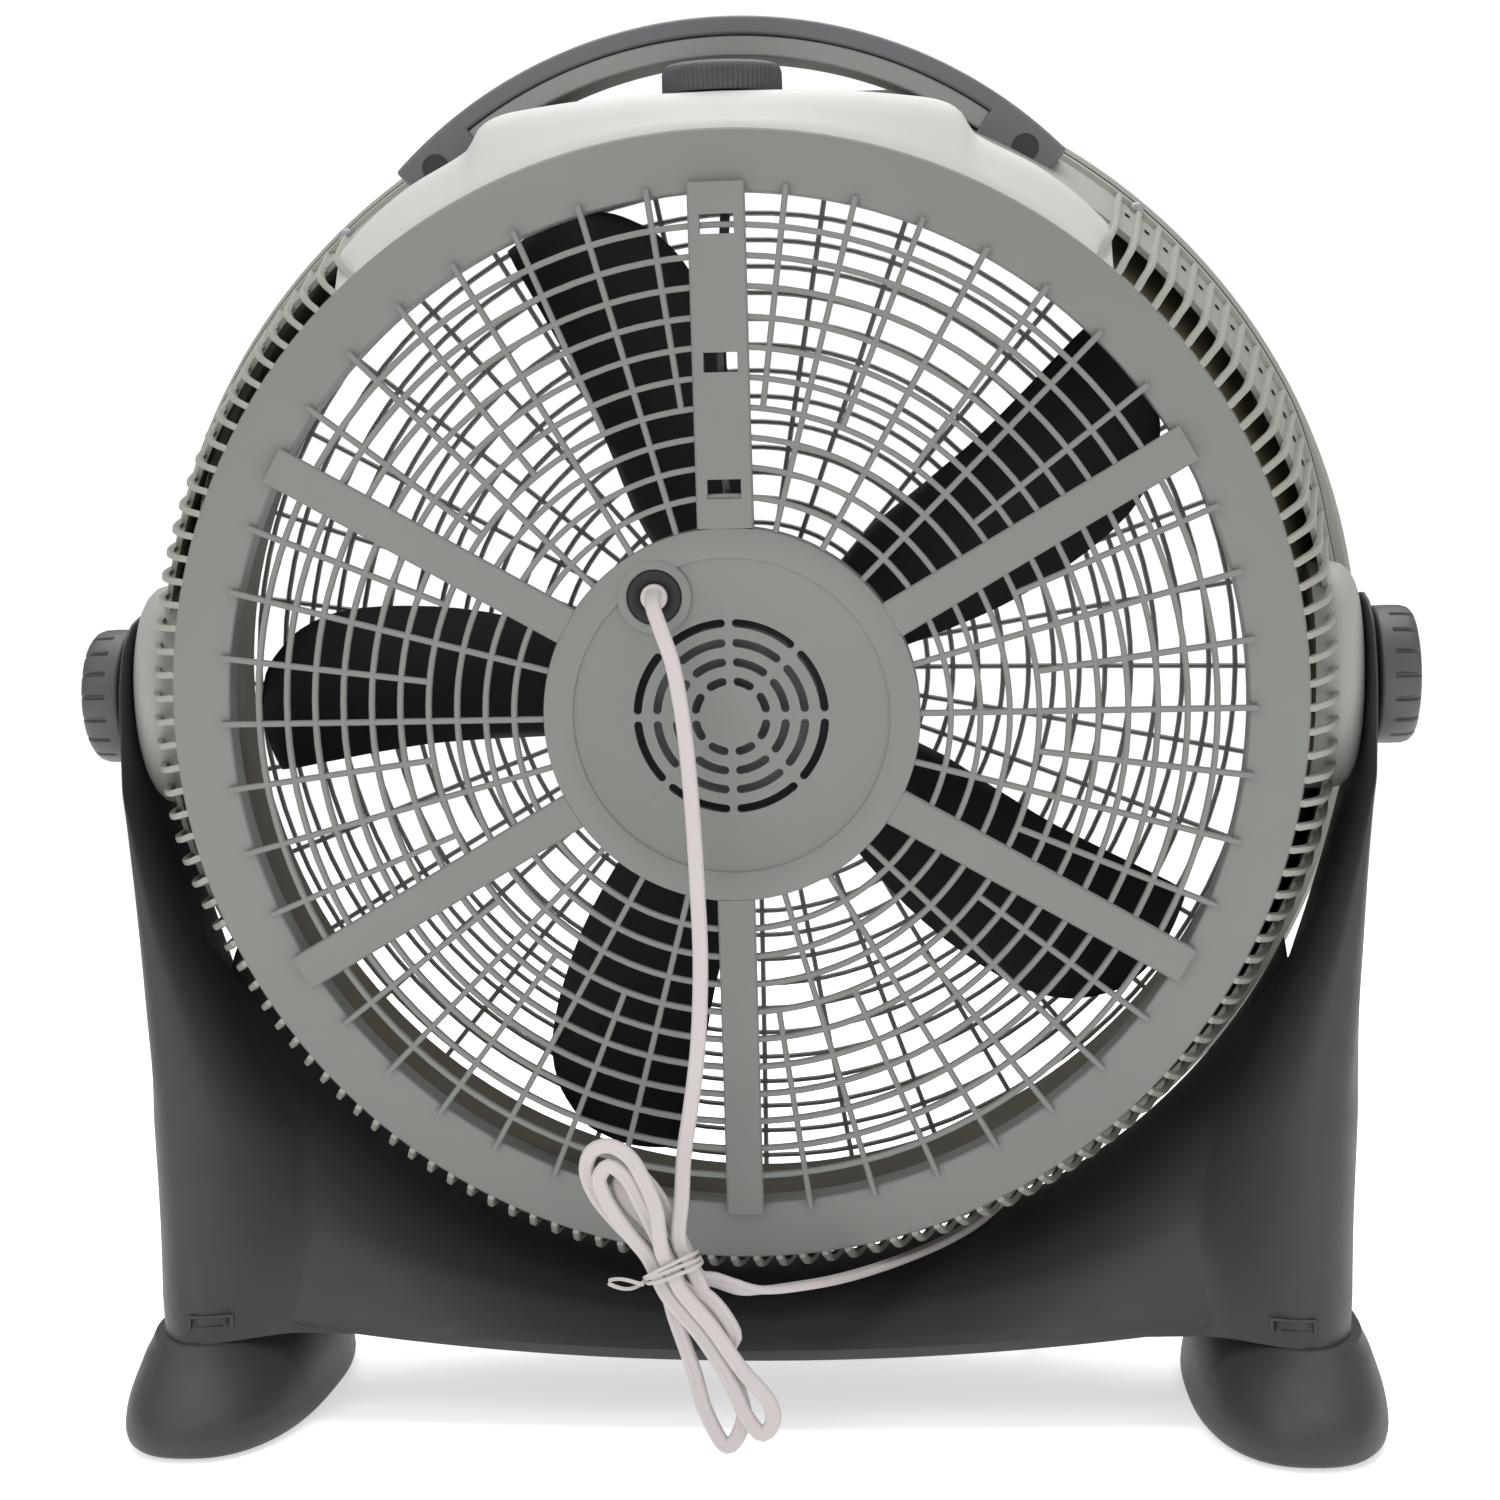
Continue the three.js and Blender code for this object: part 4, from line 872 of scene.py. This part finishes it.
def saddle_y(x, z):
    """Depth of the saddle's rear face at a height, or far forward above its top."""
    rear, ridge, lip, top = saddle_rear(x), saddle_ridge(x), saddle_lip(x), circle_below(x)
    share = (z - lip) / (top - lip)
    if share > 1:
        return ridge + 2.5 * (z - top)
    return rear + (ridge - rear) * (1 - (1 - max(share, 0.0)) ** (1 / 1.6))


def upright_rear(z, outer, inner, half, flare):
    """Rear face of the upright from its outer to its inner edge, blended into the saddle."""
    mid, wide = (outer + inner) / 2, (outer - inner) / 2
    out, count = [], 60
    for k in range(count + 1):
        x = outer - (outer - inner + flare) * (1 - math.cos(math.pi * k / count)) / 2
        soft = min(1.0, flare / FLARE) if x < mid else 0.0
        reach = wide * (1 + 0.9 * soft)
        u = min(abs(x - mid) / reach, 1.0)
        column = -half * (1 - u ** (2.4 - 0.7 * soft)) ** (1 / (2.4 - 1.3 * soft))
        column += (5.0 - 3.4 * soft) * max(0.0, abs(x - mid) - reach)
        other = saddle_y(x, z) + 0.6
        h = within(0.5 + 0.5 * (other - column) / BLEND_OVER)
        y = other + (column - other) * h - BLEND_OVER * h * (1 - h) * min(1.0, flare / 30.0)
        out.append((x, max(y, -half), z) if x > mid else (x, y, z))
    return out


def upright_front(z, outer, inner, half, limit):
    """Front face of the upright, no further forward than the limit on its inner side."""
    mid, wide = (outer + inner) / 2, (outer - inner) / 2
    out = []
    for k in range(25):
        c, s = math.cos(math.pi * k / 24), math.sin(math.pi * k / 24)
        x = mid - wide * math.copysign(abs(c) ** (2 / 2.6), c)
        y = half * abs(s) ** (2 / 2.6)
        out.append((x, max(y, limit) if x < mid - wide * 0.5 else y, z))
    return out


def upright():
    """A rounded column whose inner side runs out softly into the saddle."""
    sections = []
    for z, outer, inner, half in smooth_rows(UPRIGHT, 8):
        ridge_x = -circle_below(z)
        flare = min(FLARE * within((-z - 62.0) / 90.0), max(0.0, inner - ridge_x - 2.0))
        rear = upright_rear(z, outer, inner, half, flare)
        limit = min(rear[-1][1] + 3.0, half - 1.0) if flare else 0.0
        sections.append(rear + upright_front(z, outer, inner, half, limit))
    return closed_loft(sections)


def saddle_section(x):
    rear, ridge, bottom = saddle_rear(x), saddle_ridge(x), saddle_bottom(x)
    lip, top = saddle_lip(x), circle_below(x)
    slope = [(k / 24, lip + (top - lip) * (1 - (1 - k / 24) ** 1.6)) for k in range(25)]
    out = [(x, rear + 3, bottom), (x, rear + 0.8, bottom + 0.8), (x, rear, bottom + 2.6)]
    for t, z in slope:
        out.append((x, rear + 0.4 + (ridge - rear - 1.2) * t, z - 0.6 * math.exp(-((t / 0.03) ** 2))))
    out.append((x, ridge + 0.6, top - 1.2))
    out.append((x, ridge + 2, bottom))
    out.append((x, ridge - 1, bottom))
    out.append((x, ridge - 1, top - 4.5))
    for t, z in reversed(slope):
        out.append((x, rear + 3.5 + (ridge - rear - 6) * t, z - 4.2))
    out.append((x, rear + 3.4, bottom))
    return out


def saddle():
    return closed_loft([saddle_section(257 * math.sin(math.pi / 2 * k / 44)) for k in range(-44, 45)])


stand = Shape()
right = upright()
stand.add(right).add(mirrored(right)).add(saddle())
stand_piece = make("stand_fine", stand, stand_place, CHARCOAL, sharp=40)
put(stand_piece, "stand", "charcoal", "stand_frame")

FOOT_TOP, FOOT_HIGH = 43.9, 42.4
# Height above the floor, then the middle and half the width and length of the foot.
FOOT = [
    (1.5, 248.2, 41.3, 99), (4, 248.2, 43.2, 102), (8, 248.2, 43.8, 103), (15, 248.2, 43.2, 101),
    (20, 248.3, 42.2, 97), (25, 248.6, 40.6, 91), (30, 249.2, 38.4, 84), (35, 250.4, 35.6, 77),
    (40, 252.2, 31.4, 69.5), (FOOT_TOP, 253.8, 28.2, 64),
]
# Dark bars painted on the column as the shade along the edges of each foot's catch.
CATCH_X, CATCH_REAR = 245, -62.8
CATCH_SHADE_BARS = (
    (-10, 10, -286.2, -285.0), (-10, -8.4, -291.4, -285.2), (8.8, 10, -291.4, -285.2),
    (-5, 6, -290.8, -290.2),
)


def foot():
    sections = []
    for z, x, half_wide, half_long in smooth_rows(FOOT, 4):
        outline = superellipse(x, 5 * (FOOT_TOP - z) / FOOT_HIGH, half_wide, half_long, 2.5, 72)
        sections.append([(a, b, z - PIVOT) for a, b in outline])
    return closed_loft(sections)


def catch_shade_bar(sign, x0, x1, z0, z1):
    """One thin dark bar of painted shade along an edge of a foot's catch, bent to follow the column."""
    sections = []
    for k in range(9):
        off = x0 + (x1 - x0) * k / 8
        rear = CATCH_REAR + (4.0 if off < 5 else 2.6) * ((off - 5.0) / 15) ** 2
        x = sign * (CATCH_X + off)
        sections.append([(x, rear, z0), (x, rear, z1), (x, rear + 1.5, z1), (x, rear + 1.5, z0)])
    return closed_loft(sections)


for name, sign in (("left", -1), ("right", 1)):
    solid = foot() if sign > 0 else mirrored(foot())
    piece = make(f"foot_{name}_fine", Shape().add(solid), stand_place, CHARCOAL, sharp=60)
    put(piece, "stand", "charcoal", f"foot_{name}")
    # Painted shade along the catch's edges.
    catch_shade = Shape()
    for x0, x1, z0, z1 in CATCH_SHADE_BARS:
        catch_shade.add(catch_shade_bar(sign, x0, x1, z0, z1))
    put(make(f"foot_catch_shade_{name}", catch_shade, stand_place, BLACK_PART), "stand", "switch")

# ---- tilt knobs ----
KNOB_STEPS, GROOVE = 216, 1.5


def knob_solid():
    """A round knob with 18 grooves; each row is x, the radius and the share of the grooves' depth."""
    sections = []
    profile = [
        (292.2, 30.6, 0), (292.9, 31.6, 0), (294.0, 31.9, 0), (298.2, 32.0, 0), (298.9, 32.0, 0.8),
        (300.0, 32.0, 1.0), (306.0, 31.8, 1.0), (308.6, 31.0, 0.9), (310.1, 29.4, 0.5), (310.8, 26.6, 0.0),
        (311.0, 20.0, 0), (310.6, 12.0, 0), (310.4, 0.3, 0),
    ]
    for x, r, share in profile:
        sections.append([(x, y, z) for y, z in fluted(r, GROOVE * share, KNOB_STEPS, 12)])
    return closed_loft(sections)


for name, sign in (("left", -1), ("right", 1)):
    solid = knob_solid() if sign > 0 else mirrored(knob_solid())
    piece = make(f"tilt_knob_{name}_fine", Shape().add(solid), stand_place, KNOB, sharp=40)
    put(piece, f"tilt_clamp_{name}", "knob", f"tilt_knob_{name}")


# ---- mains lead: a route of listed points in the stand's frame, from the grommet to the plug ----
UPPER = [
    (-32.5, -62.0, 43.2), (-32.4, -70.0, 42.1), (-32.3, -77.0, 41.0), (-31.6, -86.0, 35.0),
    (-28.0, -90.0, 25.0), (-23.0, -90.5, 10.0), (-18.5, -90.0, -18.0), (-15.8, -89.5, -50.0),
    (-13.8, -89.0, -93.0), (-13.2, -89.0, -122.0), (-15.0, -89.0, -158.0), (-18.5, -89.0, -184.0),
    (-21.8, -90.0, -205.0), (-22.8, -94.0, -224.0),
]
TAIL = [
    (-10.0, -87.6, -261.0), (5.0, -82.0, -267.0), (30.0, -62.0, -270.0), (57.0, -28.0, -272.0),
    (91.0, 15.0, -269.0), (108.0, 34.0, -263.6), (120.0, 47.0, -256.6), (126.0, 53.0, -254.4),
    (133.0, 61.0, -256.6), (140.0, 72.0, -269.0), (142.0, 78.0, -290.0), (142.0, 83.0, -312.0),
    (136.0, 92.0, -331.0), (120.0, 101.0, -339.0), (98.0, 105.0, -339.0), (79.0, 106.0, -334.3),
]
NECK = Vector((-27.0, 0.0, -253.5))
ACROSS, DOWN = Vector((0.90, 0, 0.43)), Vector((0.43, 0, -0.90))
LAYERS = (-92.6, -97.4, -102.2)
RUN_GAP, TIE_HALF = 7.6, 9.0


def through_tie(column, layer):
    """Three points of one run inside the tie."""
    out = []
    for along in (-TIE_HALF, 0.0, TIE_HALF):
        q = NECK + ACROSS * (column * RUN_GAP) + DOWN * along
        out.append((q.x, LAYERS[layer], q.z))
    return out


# Column and layer of each run through the tie, with the fold that leads to the next one:
# the first fold hangs under the tie, the second stands over it, and so on in turn.
FOLDS = [
    (1, 1),
    [(-6, -96, -285), (0, -95, -305), (2.8, -94.5, -321), (-4.5, -94, -333), (-13.5, -93, -319),
     (-19, -92.6, -300), (-27, -92.6, -276)],
    (-1, 0),
    [(-50, -93, -236), (-61, -93.5, -222), (-64.5, -94.5, -211), (-61.5, -96, -202.5), (-54, -98, -199.8),
     (-45, -100, -204), (-38.5, -101.5, -214), (-33.5, -102.2, -226)],
    (0, 2),
    [(-10, -102, -278), (3, -101.6, -297), (15, -101, -312), (16, -100.6, -320), (11.5, -100.2, -325.5),
     (5, -99.5, -319), (-2, -98.5, -304), (-15, -98, -283)],
    (-1, 1),
    [(-47, -97.4, -237), (-56, -97.4, -223), (-58.5, -97.6, -214), (-54, -98.0, -208.6), (-47, -98.2, -213),
     (-41, -98, -224)],
    (0, 1),
    [(-12, -97.6, -266), (-3, -97.6, -277), (-0.5, -96.8, -284), (-4.5, -95.8, -288.5), (-10.5, -95, -283),
     (-17, -93.5, -270)],
    (0, 0),
    [(-38, -92.8, -235), (-47, -92.4, -226), (-50.5, -91.8, -218), (-46, -91.4, -211.5), (-38.5, -91.4, -217),
     (-29, -91.8, -231)],
    (1, 0),
]


def hank_route():
    """Runs down and up through the tie, with a fold at each end of them."""
    out, upward = [], False
    for item in FOLDS:
        if isinstance(item, tuple):
            run = through_tie(*item)
            out.extend(reversed(run) if upward else run)
            upward = not upward
        else:
            out.extend(item)
    return out


def catmull(route, gap):
    """Points about gap apart on a smooth curve through the route."""
    p = [np.array(q, float) for q in route]
    p = [2 * p[0] - p[1]] + p + [2 * p[-1] - p[-2]]
    out = []
    for i in range(1, len(p) - 2):
        t = [0.0]
        for a, b in ((p[i - 1], p[i]), (p[i], p[i + 1]), (p[i + 1], p[i + 2])):
            t.append(t[-1] + max(np.linalg.norm(b - a) ** 0.5, 1e-6))
        n = max(2, int(np.linalg.norm(p[i + 1] - p[i]) / gap))
        for k in range(n):
            u = t[1] + (t[2] - t[1]) * k / n
            a1 = (t[1] - u) / (t[1] - t[0]) * p[i - 1] + (u - t[0]) / (t[1] - t[0]) * p[i]
            a2 = (t[2] - u) / (t[2] - t[1]) * p[i] + (u - t[1]) / (t[2] - t[1]) * p[i + 1]
            a3 = (t[3] - u) / (t[3] - t[2]) * p[i + 1] + (u - t[2]) / (t[3] - t[2]) * p[i + 2]
            b1 = (t[2] - u) / (t[2] - t[0]) * a1 + (u - t[0]) / (t[2] - t[0]) * a2
            b2 = (t[3] - u) / (t[3] - t[1]) * a2 + (u - t[1]) / (t[3] - t[1]) * a3
            out.append((t[2] - u) / (t[2] - t[1]) * b1 + (u - t[1]) / (t[2] - t[1]) * b2)
    out.append(p[-2])
    return out


WIDE, THICK = 6.9, 3.8
LOBE_HALF_ANGLE, LOBE_STEPS = math.radians(118), 10
# Where the lead's broad side points: on its upper run, whose steps are counted, and past the hank.
HANGING, HELD = Vector((1, 0, 0)), Vector((0.78, -0.63, 0))
UPPER_STEPS = 130


def twin_section():
    """Two round cores side by side, joined by a narrower waist."""
    out = []
    for sign, back in ((1, 0), (-1, math.pi)):
        for k in range(LOBE_STEPS + 1):
            a = -LOBE_HALF_ANGLE + 2 * LOBE_HALF_ANGLE * k / LOBE_STEPS + back
            out.append((sign * (WIDE - THICK) / 2 + THICK / 2 * math.cos(a), THICK / 2 * math.sin(a)))
    return out


def lead_solid(route):
    """The flat lead along its route, turning over slowly as its broad side follows the folds."""
    section = twin_section()
    leaves_hank = next(i for i, q in enumerate(route) if q[2] < -255 and q[1] > -84)
    sections = []
    wide = HANGING
    for i, q in enumerate(route):
        along = Vector(route[min(i + 1, len(route) - 1)] - route[max(i - 1, 0)]).normalized()
        if i < UPPER_STEPS:
            hint = HANGING
        elif i >= leaves_hank:
            hint = HELD
        else:
            hint = along.cross(Vector((0, 1, 0)))
        target = (hint - along * hint.dot(along)).normalized()
        if target.dot(wide) < 0:
            target.negate()
        wide = wide * 0.7 + target * 0.3
        wide = (wide - along * wide.dot(along)).normalized()
        thin = along.cross(wide)
        sections.append([tuple(Vector(q) + wide * u + thin * v) for u, v in section])
    return closed_loft(sections)


line = catmull(UPPER + hank_route() + TAIL, 2.2)
cord_piece = make("mains_lead", Shape().add(lead_solid(line)), stand_place, CORD, sharp=60)
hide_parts("power_cord", "cord_tail", "cord_hank")
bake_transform(cord_piece)

# ---- tie round the hank ----
TIE_HALF_WIDE, TIE_HALF_DEEP, TIE_MID_Y, TIE_STEPS = 13.0, 8.2, -97.4, 48
TIE_SECTION = ((-0.4, -0.8), (0.4, -0.8), (0.5, 0.0), (0.4, 0.8), (-0.4, 0.8), (-0.5, 0.0))
TIE_END_SIDE, TIE_END_THIN = 0.8, 0.4


def tie_turn(turn):
    """One slightly wavy turn of the tie."""
    sections = []
    for k, (u, v) in enumerate(superellipse(0, 0, TIE_HALF_WIDE, TIE_HALF_DEEP, 2.6, TIE_STEPS)):
        wave = 1.5 * (turn - 1) + 1.6 * math.sin(TAU * k / TIE_STEPS + turn)
        centre = NECK + ACROSS * u + DOWN * wave
        centre.y = TIE_MID_Y + v
        away = (ACROSS * (u / TIE_HALF_WIDE) + Vector((0, v / TIE_HALF_DEEP, 0))).normalized()
        sections.append([tuple(centre + away * p + DOWN * q) for p, q in TIE_SECTION])
    return closed_loft(sections, looped=True)


def tie_end(phase, swing):
    """One of the tie's twisted ends, standing off to the left."""
    sections = []
    for k in range(12):
        t = k / 11
        spot = NECK - ACROSS * (14 + 13 * t) + DOWN * (swing * math.sin(3 * t) - 7 * t)
        spot.y = -100 - 3 * math.sin(2.5 * t + phase)
        ring = []
        for a in HEXAGON:
            c, s = math.cos(a), math.sin(a)
            ring.append((spot.x + TIE_END_SIDE * c, spot.y + TIE_END_THIN * s, spot.z + TIE_END_SIDE * s))
        sections.append(ring)
    return closed_loft(sections)


tie = Shape()
for turn in range(3):
    tie.add(tie_turn(turn))
for phase, swing in ((-1, 3.0), (1, -2.0)):
    tie.add(tie_end(phase, swing))
put(make("cord_tie_fine", tie, stand_place, TIE), "stand", "tie", "cord_tie")

# ---- plug ----
PLUG_Y, PLUG_Z = 106, -334
# Place along the plug, then half its width and height there.
PLUG_ROWS = [
    (45.2, 12.3, 7.7), (46.5, 12.5, 7.9), (58.0, 12.4, 7.8), (61.5, 11.6, 7.2), (64.5, 9.2, 6.0),
    (70.0, 8.0, 5.2), (78.0, 6.2, 4.2),
]
plug = Shape()
sections = []
for x, w, h in smooth_rows(PLUG_ROWS, 4):
    sections.append([(x, PLUG_Y + a, PLUG_Z + b) for a, b in superellipse(0, 0, w, h, 3.4, 36)])
plug.add(closed_loft(sections))
put(make("plug_fine", plug, stand_place, PLUG, sharp=60), "stand", "cord", "plug_body")

# ---- stage and light ----
FLOOR_HALF, FLOOR_GLOW = 6, 0.55
corners = [(FLOOR_HALF * a, FLOOR_HALF * b, 0) for a, b in ((-1, -1), (1, -1), (1, 1), (-1, 1))]
stage_data = bpy.data.meshes.new("floor")
stage_data.from_pydata(corners, [], [(0, 1, 2, 3)])
floor = bpy.data.objects.new("floor", stage_data)
bpy.context.scene.collection.objects.link(floor)
PAPER = finish("floor_paper", (0.93, 0.93, 0.93), 0.9, mottle=0.0, bump=0.0)
paper_shader = PAPER.node_tree.nodes["Principled BSDF"]
paper_shader.inputs["Emission Color"].default_value = (1, 1, 1, 1)
paper_shader.inputs["Emission Strength"].default_value = FLOOR_GLOW
floor.data.materials.append(PAPER)


def area(name, place, target, size, power):
    data = bpy.data.lights.new(name, "AREA")
    data.shape = "RECTANGLE"
    data.size, data.size_y = size
    data.energy = power
    light = bpy.data.objects.new(name, data)
    bpy.context.scene.collection.objects.link(light)
    light.location = place
    light.rotation_mode = "QUATERNION"
    light.rotation_quaternion = (Vector(target) - Vector(place)).to_track_quat("-Z", "Y")


area("key", (-1.2, -2.4, 2.2), (0, 0, 0.35), (1.8, 1.8), 26)
area("fill", (2.2, -2.0, 1.2), (0, 0, 0.3), (1.8, 1.8), 10)
area("top", (0, 0.3, 2.6), (0, 0, 0.3), (2.6, 2.6), 75)

# The backdrop is brighter than the light it sheds.
world = bpy.data.worlds.new("studio")
bpy.context.scene.world = world
world.use_nodes = True
sky = world.node_tree.nodes["Background"]
sky.inputs["Color"].default_value = (1, 1, 1, 1)
seen = world.node_tree.nodes.new("ShaderNodeLightPath")
strength = world.node_tree.nodes.new("ShaderNodeMapRange")
strength.inputs["To Min"].default_value = 0.5
strength.inputs["To Max"].default_value = 1.05
world.node_tree.links.new(seen.outputs["Is Camera Ray"], strength.inputs["Value"])
world.node_tree.links.new(strength.outputs["Result"], sky.inputs["Strength"])
bpy.context.scene.view_settings.view_transform = "Standard"
